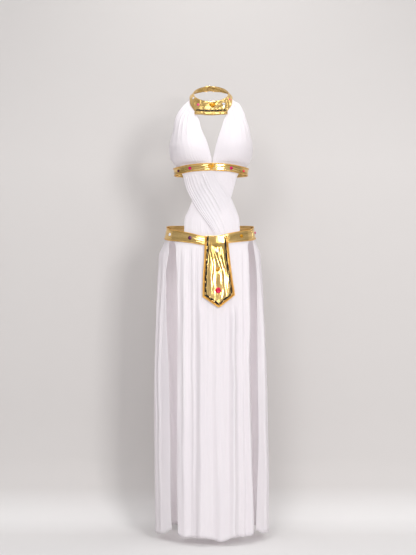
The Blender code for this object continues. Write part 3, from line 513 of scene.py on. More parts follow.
def cloth_grid(points, closed=False):
    """A bmesh grid on an array of points, rows by columns, with its UVs in metres of cloth."""
    count, columns = points.shape[:2]
    mesh = bmesh.new()
    uv = mesh.loops.layers.uv.new("cloth")
    bmesh.ops.create_grid(mesh, x_segments=columns - 1, y_segments=count - 1, size=0.5)
    mesh.verts.ensure_lookup_table()
    down = np.zeros((count, columns))
    across = np.zeros((count, columns))
    down[1:] = np.cumsum(np.linalg.norm(np.diff(points, axis=0), axis=-1), axis=0)
    across[:, 1:] = np.cumsum(np.linalg.norm(np.diff(points, axis=1), axis=-1), axis=1)
    where = {}
    for vert in mesh.verts:
        j = int(round((vert.co.x + 0.5) * (columns - 1)))
        i = int(round((0.5 - vert.co.y) * (count - 1)))
        vert.co = points[i, j]
        where[vert] = (across[i, j], down[i, j])
    for face in mesh.faces:
        for loop in face.loops:
            loop[uv].uv = where[loop.vert]
    if closed:
        bmesh.ops.remove_doubles(mesh, verts=mesh.verts[:], dist=1e-6)
    return mesh


def thicken(obj, wall):
    """Gives a sheet its thickness, inwards from its outer side."""
    solid = obj.modifiers.new("wall", "SOLIDIFY")
    solid.thickness = wall
    solid.offset = -1.0
    solid.use_even_offset = False
    solid.use_rim = True
    return obj


def tube_grid(path, radius, sides=10):
    """A closed tube around a path, with a radius for each point."""
    path = np.asarray(path, float)
    radius = np.broadcast_to(np.asarray(radius, float), (len(path),))
    ahead = np.gradient(path, axis=0)
    ahead /= np.linalg.norm(ahead, axis=1, keepdims=True)
    side = np.cross(ahead[0], (0.0, 1.0, 0.2))
    turns = np.linspace(0, 2 * np.pi, sides + 1)
    grid = []
    for point, way, r in zip(path, ahead, radius):
        side = side - way * side.dot(way)
        side /= np.linalg.norm(side)
        up = np.cross(way, side)
        grid.append([point + r * (math.cos(a) * side + math.sin(a) * up) for a in turns])
    mesh = cloth_grid(np.array(grid), closed=True)
    edges = [e for e in mesh.edges if e.is_boundary]
    bmesh.ops.holes_fill(mesh, edges=edges, sides=0)
    bmesh.ops.recalc_face_normals(mesh, faces=mesh.faces[:])
    return mesh


# Materials


class Value:
    """A socket in an expression: arithmetic on it adds Math nodes."""

    def __init__(self, look, socket):
        self.look = look
        self.socket = socket

    def _do(self, operation, *others):
        return self.look.maths(operation, self, *others)

    def __add__(self, other):
        return self._do("ADD", other)

    def __sub__(self, other):
        return self._do("SUBTRACT", other)

    def __rsub__(self, other):
        return self.look.maths("SUBTRACT", other, self)

    def __mul__(self, other):
        return self._do("MULTIPLY", other)

    def __truediv__(self, other):
        return self._do("DIVIDE", other)

    __radd__ = __add__
    __rmul__ = __mul__


class Nodes:
    """A node tree under construction."""

    def __init__(self, tree):
        self.tree = tree

    def node(self, kind, settings=None, **sockets):
        """Adds a node, sets its settings, then its sockets from values or links."""
        made = self.tree.nodes.new(kind)
        for key, value in (settings or {}).items():
            if key == "stops":
                self.stops(made.color_ramp, value)
            else:
                setattr(made, key, value)
        for key, value in sockets.items():
            self.feed(made.inputs, key, value)
        return made

    def stops(self, ramp, stops):
        """Sets a colour ramp's places and colours."""
        while len(ramp.elements) < len(stops):
            ramp.elements.new(0.5)
        for element, (place, colour) in zip(ramp.elements, stops):
            element.position = place
            element.color = (*colour, 1)

    def feed(self, inputs, key, value):
        """Sets or links a socket by its name with _ for spaces, or by i and its number."""
        found = [s for s in inputs if s.name.replace(" ", "_") == key and s.enabled]
        socket = found[0] if found else inputs[int(key[1:])]
        value = value.socket if isinstance(value, Value) else value
        if isinstance(value, bpy.types.NodeSocket):
            self.tree.links.new(value, socket)
        else:
            socket.default_value = value

    def maths(self, operation, *terms):
        """Adds a Math node with its terms in order."""
        numbered = {f"i{i}": term for i, term in enumerate(terms)}
        return Value(self, self.node("ShaderNodeMath", {"operation": operation}, **numbered).outputs[0])

    def place(self, kind="Object"):
        """The coordinates of a point, of the object or of the cloth's UV."""
        return self.node("ShaderNodeTexCoord").outputs[kind]

    def stretched(self, vector, scale):
        """Coordinates with a scale along each axis."""
        return self.node("ShaderNodeMapping", Vector=vector, Scale=scale).outputs[0]

    def noise(self, vector, scale, detail, roughness=0.5):
        """Noise with its own scale along each axis."""
        sockets = {"Vector": self.stretched(vector, scale), "Scale": 1.0}
        made = self.node("ShaderNodeTexNoise", Detail=detail, Roughness=roughness, **sockets)
        return Value(self, made.outputs["Fac"])

    def wave(self, vector, scale, direction):
        """Even bands along a direction."""
        made = self.node("ShaderNodeTexWave", {"bands_direction": direction}, Vector=vector, Scale=scale)
        return Value(self, made.outputs["Fac"])

    def ramp(self, value, stops):
        """The colour that a value has between stops of place and colour."""
        return self.node("ShaderNodeValToRGB", {"stops": stops}, Fac=value).outputs[0]

    def bumped(self, height, distance, strength, under=None):
        """A bumped normal, over another one if it is given."""
        sockets = {"Height": height, "Distance": distance, "Strength": strength}
        if under is not None:
            sockets["Normal"] = under
        return self.node("ShaderNodeBump", **sockets).outputs[0]


class Look(Nodes):
    """A material under construction."""

    def __init__(self, name):
        self.material = bpy.data.materials.new(name)
        self.material.use_nodes = True
        super().__init__(self.material.node_tree)
        self.shader = self.tree.nodes["Principled BSDF"]

    def mixed_with(self, other, share):
        """Mixes the surface with another shader."""
        both = self.node("ShaderNodeMixShader", Fac=share, i1=self.shader.outputs[0], i2=other.outputs[0])
        self.feed(self.tree.nodes["Material Output"].inputs, "Surface", both.outputs[0])
        return self.material

    def see_through(self, share, colour):
        """Lets a share of the light through, as thin cloth does."""
        return self.mixed_with(self.node("ShaderNodeBsdfTranslucent", Color=(*colour, 1)), share)

    def one_sided(self):
        """Shows the front of the faces and leaves their back out."""
        back = self.node("ShaderNodeNewGeometry").outputs["Backfacing"]
        return self.mixed_with(self.node("ShaderNodeBsdfTransparent"), back)

    def set(self, **sockets):
        """Sets or links sockets of the surface's shader."""
        for key, value in sockets.items():
            self.feed(self.shader.inputs, key, value)
        return self.material


WHITE, BLACK = (1.0, 1.0, 1.0), (0.0, 0.0, 0.0)


def tint(colour, share, other=WHITE):
    """A colour moved part of the way to another."""
    return tuple(a + (b - a) * share for a, b in zip(colour, other))


def stretch_cloth():
    """White stretch jersey: fine ribs, faint shade changes, and some light coming through."""
    look = Look("white_stretch_cloth")
    colour = tuple(looks().cloth)
    place = look.place()
    uv = look.place("UV")
    soft = look.noise(place, (9, 9, 2.2), 3.0)
    colours = ((0.30, tint(colour, 0.10, (0.70, 0.68, 0.75))), (0.52, colour), (0.75, tint(colour, 0.25)))
    slub = look.noise(uv, (1100, 40, 1), 2.0)
    knit = look.noise(uv, (500, 500, 1), 1.0)
    fine = look.bumped(slub * 0.6 + knit * 0.4, 0.00024, 0.5)
    pulled = look.noise(uv, (120, 5, 1), 2.5)
    normal = look.bumped(pulled, 0.0024, 0.6, fine)
    look.set(Base_Color=look.ramp(soft, colours), Roughness=soft * 0.12 + 0.66, Normal=normal)
    look.set(Sheen_Weight=0.22, Sheen_Roughness=0.45, Specular_IOR_Level=0.35)
    return look.see_through(0.28, tint(colour, 0.3, (0.95, 0.84, 0.80)))


def gold_cloth(name, stretch, depth, dull):
    """Foil-printed gold cloth: bright pulled folds, olive and orange shifts, and a fine grain."""
    look = Look(name)
    gold = tuple(looks().gold)
    place = look.place()
    uv = look.place("UV")
    broad = look.noise(uv, (stretch[0] * 0.5, stretch[1] * 0.5, 1), 2.0)
    bronze = (gold[0] * 0.56, gold[1] * 0.52, gold[2] * 0.34)
    pale = tint(gold, 0.22, (1.0, 0.90, 0.60))
    colours = ((0.34, bronze), (0.46, tint(gold, 0.35, bronze)), (0.57, gold), (0.72, pale))
    wrinkle = look.noise(uv, (*stretch, 1), 2.0, 0.55)
    grain = look.noise(place, (1400, 1400, 1400), 1.0)
    near = look.bumped(grain, 0.00010, 0.35)
    normal = look.bumped(wrinkle, depth, 0.7, near)
    rough = look.noise(place, (50, 50, 50), 2.0) * 0.10 + dull
    look.set(Base_Color=look.ramp(broad, colours), Roughness=rough, Normal=normal)
    return look.set(Metallic=0.95, Coat_Weight=0.12, Coat_Roughness=0.20)


def edge_cloth():
    """Twisted gold edging with an orange cast, its grooves painted darker as shade and its ridges painted
    paler as highlight.
    """
    look = Look("orange_gold_edging")
    gold = tuple(looks().edge_gold)
    uv = look.place("UV")
    twist = look.wave(look.stretched(uv, (700, 500, 1)), 0.35, "DIAGONAL")
    spread = look.noise(look.place(), (120, 120, 120), 2.0)
    # Painted shade and highlight: the dark stop darkens the twist's grooves and the pale stop lightens its
    # ridges, following its bump; the rest is tone that differs at random
    dark = (gold[0] * 0.62, gold[1] * 0.50, gold[2] * 0.40)
    colours = ((0.25, dark), (0.50, gold), (0.80, tint(gold, 0.40, (1.0, 0.86, 0.5))))
    value = twist * 0.55 + spread * 0.45
    normal = look.bumped(twist, 0.0005, 0.6)
    look.set(Base_Color=look.ramp(value, colours), Roughness=spread * 0.2 + 0.22, Normal=normal)
    return look.set(Metallic=0.9)


def sequin_look(name, colour, roughness):
    """Shiny sequins that vary a little from one to the next."""
    look = Look(name)
    spread = look.noise(look.place(), (320, 320, 320), 1.0)
    colours = ((0.35, tint(colour, 0.5, BLACK)), (0.5, colour), (0.7, tint(colour, 0.04)))
    look.set(Base_Color=look.ramp(spread, colours), Roughness=spread * 0.15 + roughness)
    return look.set(Metallic=0.85)


def stone_look(name, colour):
    """Cut acrylic over foil: deep in the middle, with a clear hard coat."""
    look = Look(name)
    spread = look.noise(look.place(), (130, 130, 130), 0.0)
    colours = ((0.34, tint(colour, 0.45, BLACK)), (0.52, colour), (0.72, tint(colour, 0.06)))
    look.set(Base_Color=look.ramp(spread, colours), Roughness=spread * 0.10 + 0.20)
    return look.set(Metallic=0.0, Coat_Weight=0.04, Coat_Roughness=0.10, Specular_IOR_Level=0.2)


def stage_look():
    """Matte paper sweep, painted lighter on the floor where more light falls, and painted darker towards
    the top as shade.
    """
    look = Look("paper_sweep")
    colour = tuple(bpy.context.scene.costume_stage.floor)
    place = look.place()
    height = Value(look, look.node("ShaderNodeSeparateXYZ", Vector=place).outputs["Z"])
    spread = look.noise(place, (0.8, 0.8, 0.8), 2.0)
    # Painted light and shade: the floor colour is painted lighter for the light on the floor, and the top
    # colour painted darker for the shade high on the wall
    floor, top = tint(colour, 0.40), tint(colour, 0.17, BLACK)
    colours = ((0.0, floor), (0.012, floor), (0.06, colour), (0.62, colour), (0.90, top))
    look.set(Base_Color=look.ramp((height - FLOOR_Z) / WALL_RISE + spread * 0.01 - 0.005, colours))
    look.set(Roughness=0.85, Specular_IOR_Level=0.2)
    return look.one_sided()


def shared(build, *given):
    """The material that a function makes, made once for each set of values."""
    key = " ".join([build.__name__, *map(str, given)])
    for made in bpy.data.materials:
        if made.get("key") == key:
            return made
    made = build(*given)
    made["key"] = key
    return made


# Cloth pieces


def face_outwards(mesh):
    """Turns an open sheet so that its faces look away from the costume's middle."""
    mesh.normal_update()
    outward = 0.0
    for face in mesh.faces:
        middle = face.calc_center_median()
        outward += face.normal.x * middle.x + face.normal.y * middle.y
    if outward < 0:
        bmesh.ops.reverse_faces(mesh, faces=mesh.faces[:])
    return mesh


def sheet_piece(name, points, wall, look):
    """A sheet whose outer side lies on the points, with its wall inside them, in place of its node."""
    obj = new_piece(f"{name}_cloth", face_outwards(cloth_grid(points)), look)
    return fitted(thicken(obj, wall), [name])


def white_piece(name, points):
    """A sheet of the white stretch cloth."""
    return sheet_piece(name, points, CLOTH, shared(stretch_cloth))


def lapped(angle, rise):
    """How far a closure's upper end stands out at the back, where it lies over the other."""
    return ease((np.degrees(angle) - LAP_START) / LAP_LENGTH) * rise


def fitted(obj, stands_for=()):
    """Puts a piece on the frame's body and in place of its nodes."""
    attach(obj, "root")
    if stands_for:
        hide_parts(*stands_for)
    return obj


def refine(sections, count):
    """Adds rows between the given ones along smooth curves."""
    length = np.linalg.norm(np.diff(sections, axis=0), axis=-1).mean(axis=1)
    at = np.concatenate([[0], np.cumsum(length)])
    rise = np.diff(sections, axis=0) / np.diff(at)[:, None, None]
    slope = np.zeros_like(sections)
    slope[0], slope[-1] = rise[0], rise[-1]
    before, after = np.diff(at)[:-1, None, None], np.diff(at)[1:, None, None]
    slope[1:-1] = (rise[:-1] * after + rise[1:] * before) / (before + after)
    made = [sections[0]]
    for i in range(len(sections) - 1):
        wide = at[i + 1] - at[i]
        for j in range(1, count + 1):
            u = j / count
            made.append(hermite(sections[i], sections[i + 1], slope[i] * wide, slope[i + 1] * wide, u))
    return np.array(made)


def gathers(v, u, count, seed, loose=0.22):
    """Fine uneven gathers that run along u, from 0 to 1 in height."""
    phase = v * count + loose * wander(3.1 * u + 2.0 * v, seed) + 0.55 * wander(5.3 * v, seed + 1)
    ridge = 0.5 + 0.5 * np.sin(2 * np.pi * phase)
    uneven = 0.62 + 0.38 * wander(11.0 * v + 1.7 * u, seed + 2)
    return ridge**1.6 * np.clip(uneven, 0.12, 1)


def crackle(across, down, pitch, seed):
    """The crumpled look of foil cloth, from about 0 to 1, with sharp ridges."""
    a, d = across / pitch, down / pitch
    one = np.abs(np.sin(a + 0.9 * wander(0.8 * d, seed) + 0.3 * d))
    two = np.abs(np.sin(0.74 * a - 0.66 * d + 1.1 * wander(0.7 * a, seed + 3)))
    three = np.abs(np.sin(0.35 * a + 1.05 * d + 1.2 * wander(0.5 * a + 0.3 * d, seed + 5)))
    return (1 - one) * 0.42 + (1 - two) * 0.36 + (1 - three) * 0.22


def collar_crumple(angle, down):
    """How far the collar's cloth stands out: pulled folds below the heart, crumples elsewhere."""
    depth = collar_depth(angle)
    share = down / depth
    arc = angle * COLLAR_ARC
    spread = (arc - COLLAR_HEART) / (0.010 + 0.75 * np.maximum(down - 0.020, 0.0))
    rays = 0.5 + 0.5 * np.sin(spread * 11.0 + 1.2 * wander(arc * 60, 2))
    rays = rays**1.4 * bump(spread / 1.5) * ease((down - 0.026) / 0.012)
    side = crackle(arc, down, 0.0100, 4)
    long_folds = (0.5 + 0.5 * np.sin(arc * 300 + 2.6 * np.sin(down * 95 + arc * 60))) ** 2
    ends = ease((np.abs(arc) - 0.028) / 0.02)
    aside = (1 - 0.6 * bump(spread / 1.5)) * (0.7 + 0.8 * ends)
    body = 0.0010 * rays + (0.0012 * side + 0.0005 * long_folds) * aside
    return body * ease(share / 0.10) * ease((1.02 - share) / 0.10)


class CollarOperator(bpy.types.Operator):
    """Add the stiff gold collar with its padded roll"""

    bl_idname = "costume.collar"
    bl_label = "Collar"

    def execute(self, context):
        gold = shared(gold_cloth, "gold_lame", (30.0, 26.0), 0.0030, 0.12)
        angle = np.linspace(*np.radians(COLLAR_ENDS), 420)[None]
        share = np.concatenate([[0.0, 0.012], np.linspace(0.035, 0.965, 44), [0.988, 1.0]])[:, None]
        swell = np.where((share < 0.02) | (share > 0.98), -0.0006, 0.0)
        lap = lapped(angle, COLLAR_WALL + 2 * GAP)
        down = share * collar_depth(angle)
        points = collar_point(angle + 0 * down, down, lap + swell + collar_crumple(angle, down))
        sheet_piece("collar", points, COLLAR_WALL, gold)
        self.add_roll()
        return {"FINISHED"}

    def add_roll(self):
        """A padded tube along the collar's lower edge."""
        angle = np.radians(np.linspace(-ROLL_SPAN, ROLL_SPAN, 150))
        ends = np.clip(1 - (np.abs(np.degrees(angle)) / ROLL_SPAN) ** 22, 0.0, 1.0) ** 0.5
        fold = 1 + 0.05 * wander(angle * 12, 3)
        path = collar_point(angle, collar_depth(angle) + ROLL, ROLL_LIFT)
        mesh = tube_grid(path, ROLL * np.maximum(ends, 0.04) * np.clip(fold, 0.8, 1.06), 14)
        smooth = shared(gold_cloth, "gold_roll", (10.0, 6.0), 0.0012, 0.20)
        fitted(new_piece("collar_roll_cloth", mesh, smooth), ["collar_roll"])


def halter_grid(table, side, columns):
    """Rows of points down a halter panel, from under the collar to under the band."""
    v = np.linspace(0, 1, columns)
    under = -COLLAR_WALL - GAP - CLOTH
    angle = side * np.radians(HALTER_START + v * HALTER_SWEEP)
    sections = []
    for more in HALTER_TOP_ROWS:
        sections.append(collar_point(angle, collar_depth(angle) + more, under - GAP))
    for row in rows(table):
        one = np.array([row["in_x"], row["in_y"], row["in_z"]])
        two = np.array([row["out_x"], row["out_y"], row["out_z"]])
        out = np.array([two[1] - one[1], -(two[0] - one[0]), 0.0]) * side
        out[1] = -abs(out[1])
        out[0] = side * abs(out[0])
        out /= np.linalg.norm(out)
        line = one + (two - one) * v[:, None]
        sections.append(line + out * (row["bulge"] * np.sin(np.pi * v) ** 0.85)[:, None])
    last = rows(table)[-1]
    for share in HALTER_LOW_ROWS:
        first, end = last["in_x"], side * HALTER_CORNER
        x = first + (end - first) * v
        z = np.full(columns, -0.24)
        for _ in range(6):
            turn = np.degrees(np.abs(front_angle(FORM, x, z, OVER)))
            top = along(BUST_BAND, "angle", turn, "top")
            z = top + (along(BUST_BAND, "angle", turn, "bottom") - top) * share
        one, two = front_angle(FORM, first, z[0], OVER), front_angle(FORM, end, z[-1], OVER)
        sections.append(oval(FORM, one + (two - one) * v, z, OVER))
    return np.array(sections)


def make_halter(name, table, side, seed, columns=120):
    """One gathered halter panel."""
    grid = refine(halter_grid(table, side, columns), 10)
    u = np.linspace(0, 1, len(grid))[:, None]
    v = np.linspace(0, 1, columns)[None]
    drift = 0.012 * wander(4 * u, seed)
    raised = np.zeros((len(grid), columns))
    for fold in rows(HALTER_FOLDS):
        width = fold["width"] * (0.62 + 0.9 * u)
        fade = 1 - ease((u - fold["reach"] + 0.16) / 0.30)
        raised += fold["height"] * crease((v - fold["place"] - drift) / width) * fade
    fine = gathers(v, u, 17, seed) * 0.0009 * (1 - ease((u - 0.34) / 0.22))
    raised = (raised + fine) * ease((u - 0.160) / 0.10)
    low = gathers(v, u, 21, seed + 4) * 0.0013 * ease((u - 0.66) / 0.20) * (1 - ease((u - 0.845) / 0.05))
    edge = 0.0007 * (bump(v / 0.018) + bump((1 - v) / 0.018)) * ease((u - 0.16) / 0.1)
    raised += low + edge * (1 - ease((u - 0.80) / 0.06))
    n = normals(grid) * side
    points = grid + n * (raised + CLOTH)[..., None]
    white_piece(name, points)


class HalterOperator(bpy.types.Operator):
    """Add the two gathered halter panels"""

    bl_idname = "costume.halter"
    bl_label = "Halter Panels"

    def execute(self, context):
        make_halter("halter_left", HALTER_LEFT, -1, 2)
        make_halter("halter_right", HALTER_RIGHT, 1, 5)
        return {"FINISHED"}


def under_shows(x, z):
    """Where the lower strap isn't covered by the other, so that its folds may rise."""
    right = ease((x - 0.043 - (-0.30 - z) * 0.68) / 0.012)
    left = ease((-0.060 - (z + 0.385) * 0.75 - x) / 0.012)
    return np.maximum(right, left) * 0.55


def make_wrap(name, table, base, lifted, seed, columns=110):
    """One crossed strap with long creases."""
    v = np.linspace(0, 1, columns)
    flat = []
    for row in rows(table):
        low = np.array([row["low_x"], row["low_z"]])
        high = np.array([row["high_x"], row["high_z"]])
        flat.append(low + (high - low) * v[:, None])
    flat = refine(np.array(flat), 14)
    x, z = flat[..., 0], flat[..., 1]
    u = np.linspace(0, 1, len(flat))[:, None]
    turn = np.degrees(np.abs(front_angle(FORM, x, z)))
    band_low = along(BUST_BAND, "angle", turn, "bottom")
    belt_top = along(BELT, "angle", turn, "top")
    free = ease((band_low - 0.003 - z) / 0.012) * ease((z - belt_top - 0.004) / 0.012)
    raised = np.zeros(x.shape)
    drift = 0.022 * wander(3.2 * u, seed)
    for fold in rows(WRAP_FOLDS):
        window = ease((u - fold["start"] + 0.06) / 0.16) * ease((fold["end"] + 0.06 - u) / 0.16)
        raised += fold["height"] * crease((v[None] - fold["place"] - drift) / fold["width"]) * window
    raised += 0.00025 * gathers(v[None], u, 13, seed)
    raised *= free * lifted(x, z)
    raised = np.minimum(raised, MOST_RAISED)
    angle = front_angle(FORM, x, z, base + raised)
    points = oval(FORM, angle, z, base + raised + CLOTH)
    white_piece(name, points)


class WrapOperator(bpy.types.Operator):
    """Add the two crossed straps of the bodice"""

    bl_idname = "costume.wraps"
    bl_label = "Crossed Wraps"

    def execute(self, context):
        make_wrap("wrap_under", WRAP_UNDER, 0.0, under_shows, 3)
        make_wrap("wrap_over", WRAP_OVER, OVER, lambda x, z: 1.0, 8)
        return {"FINISHED"}


def make_band(name, angle, table, lap, seed):
    """A gold band round the form, with its two piped edges."""
    gold = shared(gold_cloth, "gold_band", (12.0, 170.0), 0.0011, 0.08)
    turn = turned(angle)
    top = along(table, "angle", turn, "top")[None]
    low = along(table, "angle", turn, "bottom")[None]
    share = np.linspace(0, 1, 30)[:, None]
    z = top - 0.0012 + (low - top + 0.0024) * share
    arc = angle[None] * BAND_ARC
    rise = top - z
    sway = 1.5 * np.sin(arc * 34 + seed) + 0.9 * np.sin(arc * 91 + 2 * seed)
    streaks = 0.5 + 0.5 * np.sin(rise * 900 + sway)
    crumple = 0.0004 * streaks**1.5 + 0.0006 * crackle(arc * 0.12, rise * 1.1, 0.0040, seed)
    crumple *= ease(share / 0.14) * ease((1 - share) / 0.14)
    crumple *= ease((angle - angle[0]) / 0.08)[None] * ease((angle[-1] - angle) / 0.08)[None]
    out = BAND + BAND_WALL + lap[None] + crumple - 0.0004
    points = oval(FORM, angle[None], z, out)
    sheet_piece(name, points, BAND_WALL - 0.0004, gold)
    edge = shared(edge_cloth)
    beads = 1 + 0.05 * np.sin(np.arange(len(angle)) * 1.9)
    for part, level in (("top", top[0] - PIPING_IN), ("low", low[0] + PIPING_IN)):
        path = oval(FORM, angle, level, BAND + PIPING_OUT + lap)
        mesh = tube_grid(path, PIPING_CORD * beads, 8)
        fitted(new_piece(f"{name}_piping_{part}", mesh, edge))


class BandOperator(bpy.types.Operator):
    """Add the bust band and the belt in gold cloth with piped edges"""

    bl_idname = "costume.bands"
    bl_label = "Bust Band and Belt"

    def execute(self, context):
        angle = np.radians(np.linspace(*BAND_ENDS, 560))
        make_band("bust_band", angle, BUST_BAND, lapped(angle, BAND_WALL + PIPING + 2 * GAP), 1)
        left, right = BELT_SEAMS
        front = np.radians(np.linspace(left + SEAM_HALF, right - SEAM_HALF, 260))
        make_band("belt_front", front, BELT, 0 * front, 6)
        back = np.radians(np.linspace(right + SEAM_HALF, left + 360 - SEAM_HALF, 380))
        make_band("belt_back", back, BELT, 0 * back, 9)
        return {"FINISHED"}


def draped(x, z, out):
    """The point in front at x and z: on the form above the hips, on the hanging skirt below them."""
    upper, lower = (oval(table, front_angle(table, x, z, out), z, out) for table in (FORM, DRAPE))
    mix = ease((HIP_BREAK - z) / HIP_BLEND)[..., None]
    return upper * (1 - mix) + lower * mix


def down_fold(fold, names, near, far):
    """A fold's value on its way from the top over the middle to the hem."""
    top, mid, hem = (fold[name] for name in names)
    return top + (mid - top) * near + (hem - mid) * far


def front_folds(x, z):
    """How far the front panel's folds stand out."""
    down = np.clip((-0.51 - z) / SKIRT_LENGTH, 0, 1)
    raised = np.zeros(np.broadcast(x, z).shape)
    for f in rows(FRONT_FOLDS):
        near, far = ease(down / 0.30), ease((down - 0.45) / 0.55)
        place = down_fold(f, ("x_top", "x_mid", "x_hem"), near, far)
        place = place + 0.0016 * wander(9 * z, 10 + 40 * f["x_top"])
        height = down_fold(f, ("top", "mid", "hem"), near, far)
        width = f["width"] * (1 + 0.25 * far)
        raised += height * bump((x - place) / width)
    raised += 0.0010 * gathers((x + 0.12) / 0.26, down * 2, 30, 4, 0.35) * (1 - 0.65 * ease(down / 0.8))
    under_flap = ease((x + 0.040) / 0.012) * ease((0.092 - x) / 0.012) * ease((z + 0.745) / 0.05)
    raised *= 1 - 0.80 * under_flap
    return raised * ease((-0.5115 - z) / 0.03)


def skirt_top(turn):
    """The height of the skirt's top edge, hidden under the belt."""
    top, low = (along(BELT, "angle", turned(turn), column) for column in ("top", "bottom"))
    return top + (low - top) * 0.62


def make_skirt_front():
    """The front panel, open at both sides."""
    columns, count = 250, 110
    s = np.linspace(0, 1, columns)[None]
    u = np.linspace(0, 1, count)[:, None] ** 1.15
    turn = np.radians(BELT_SEAMS[0] + (BELT_SEAMS[1] - BELT_SEAMS[0]) * s)
    low = along(BELT, "angle", turned(turn), "bottom")
    first = oval(FORM, turn * 0.985, skirt_top(turn), OVER)
    second = oval(FORM, turn * 0.98, low - 0.0005, OVER)
    hem_left, hem_right = FRONT_HEM[1][0], FRONT_HEM[-1][0]
    hem = along(FRONT_HEM, "x", hem_left + (hem_right - hem_left) * s, "z")
    z = (low - 0.004) + (hem - low + 0.004) * u
    left, right = along(SLITS, "z", z, "front_left"), along(SLITS, "z", z, "front_right")
    x = left + (right - left) * s
    level = np.concatenate([first[..., 2], second[..., 2], z])
    wide = np.concatenate([first[..., 0], second[..., 0], x])
    base = draped(wide, level, OVER)
    base[0], base[1] = first[0], second[0]
    hemmed = hem_step(level, hem)
    edges = 0.0006 * (bump(s / 0.010) + bump((1 - s) / 0.010)) * ease((-0.53 - level) / 0.02)
    points = base + normals(base) * (front_folds(wide, level) + CLOTH + hemmed + edges)[..., None]
    white_piece("skirt_front", points)


def hem_step(level, hem):
    """The double cloth of the hem, with the stitch line pressed in above it."""
    above = level - hem
    turned_up = ease((looks().hem - above) / 0.0022) * 0.0006
    return turned_up - 0.0005 * bump((above - looks().hem) / 0.0016)


def oval_back(angle, z, lift):
    """The back panel's plain surface: its front edges keep their own depth."""
    point = oval(DRAPE, angle, z, lift)
    edge = along(SLITS, "z", z, "back_edge")
    deep = along(DRAPE, "z", z, "front")
    ahead = np.cos(angle) > 0
    point[..., 1] = np.where(ahead, point[..., 1] * np.minimum(1, 1.62 * -edge / deep), point[..., 1])
    return point


def make_skirt_back():
    """The back panel, which comes round both sides to the slits."""
    columns, count = 380, 100
    s = np.linspace(0, 1, columns)
    u = np.linspace(0, 1, count)[:, None]
    turn = np.radians(BELT_SEAMS[1] + 0.4 + (359.2 - BELT_SEAMS[1] + BELT_SEAMS[0]) * s)
    hem = BACK_HEM - BACK_HEM_DROP * ease(np.minimum(s, 1 - s) / 0.06) + 0.002 * np.sin(9 * turn)
    low = along(BELT, "angle", turned(turn), "bottom") - 0.0005
    z = (low - 0.006)[None] + (hem - low + 0.006)[None] * u**1.25
    z = np.concatenate([skirt_top(turn)[None], low[None], z])
    mix = ease((low - 0.004 - z) / 0.05)
    half = along(DRAPE, "z", z, "half")
    middle = along(DRAPE, "z", z, "middle")
    right = np.arcsin(np.clip((along(SLITS, "z", z, "back_right") - middle) / half, 0, 0.99))
    left = np.arcsin(np.clip((along(SLITS, "z", z, "back_left") - middle) / half, -0.99, 0))
    angle = turn[None] * (1 - mix) + (right + (2 * np.pi + left - right) * s[None]) * mix
    base = oval(FORM, angle, z, OVER) * (1 - mix[..., None]) + oval_back(angle, z, OVER) * mix[..., None]
    down = np.clip((-0.50 - z) / SKIRT_LENGTH, 0, 1)
    raised = np.zeros(z.shape)
    for f in rows(BACK_FOLDS):
        near, far = ease(down / 0.3), ease((down - 0.35) / 0.65)
        height = down_fold(f, ("top", "mid", "hem"), near, far)
        off = (np.degrees(angle) - f["angle"] + 2.0 * wander(7 * z, f["angle"] * 0.1) + 180) % 360 - 180
        raised += height * bump(off / f["width"])
    raised += 0.0010 * gathers(s[None], down * 2, 76, 6, 0.35) * (1 - 0.6 * ease(down / 0.8))
    raised *= ease((low - 0.001 - z) / 0.04)
    raised += hem_step(z, hem[None])
    points = base + normals(base) * (raised + CLOTH)[..., None]
    white_piece("skirt_back", points)


class SkirtOperator(bpy.types.Operator):
    """Add the skirt's front and back panels"""

    bl_idname = "costume.skirt"
    bl_label = "Skirt Panels"

    def execute(self, context):
        make_skirt_front()
        make_skirt_back()
        return {"FINISHED"}


def flap_point(x, z, lift, rough=1.0):
    """A point of the flap's inner side, moved outwards by lift."""
    x, z = np.asarray(x, float), np.asarray(z, float)
    left, right = along(FLAP, "z", z, "left"), along(FLAP, "z", z, "right")
    v = np.clip((x - left) / (right - left), 0, 1)
    clear = ease((-0.505 - z) / 0.05)
    over = BAND + BAND_WALL + PIPING + 2 * GAP
    hung = OVER + CLOTH + FLAP_CLEAR
    wave = v * 3.0 + 0.26 * np.sin(24 * z + 2 * v) + 0.10 * np.sin(61 * z + 5 * v) - 0.35
    ripple = 0.0030 * (0.5 + 0.5 * np.sin(2 * np.pi * wave)) ** 1.2
    ripple += 0.0003 * (0.5 + 0.5 * np.sin(2 * np.pi * (v * 7.3 + 0.45 * np.sin(37 * z)))) ** 2
    inside = ease((v - 0.12) / 0.08) * ease((0.88 - v) / 0.08)
    for item in rows(STONES):
        if item["on"] == "flap":
            off = (np.hypot(x - item["x"], z - item["z"]) - 0.5 * item["radius"]).clip(0)
            ripple = ripple * (1 - 0.75 * bump(off / (1.2 * item["radius"])))
    ripple = ripple * (0.12 + 0.88 * inside) * ease((-0.50 - z) / 0.03) * rough
    return draped(x, z, over + (hung - over) * clear + ripple + lift)


def flap_floor(v):
    """The height of the flap's lower edge across it."""
    left = FLAP_CORNERS[0] + (FLAP_POINT[1] - FLAP_CORNERS[0]) * v / FLAP_TIP
    right = FLAP_CORNERS[1] + (FLAP_POINT[1] - FLAP_CORNERS[1]) * (1 - v) / (1 - FLAP_TIP)
    return np.where(v < FLAP_TIP, left, right)


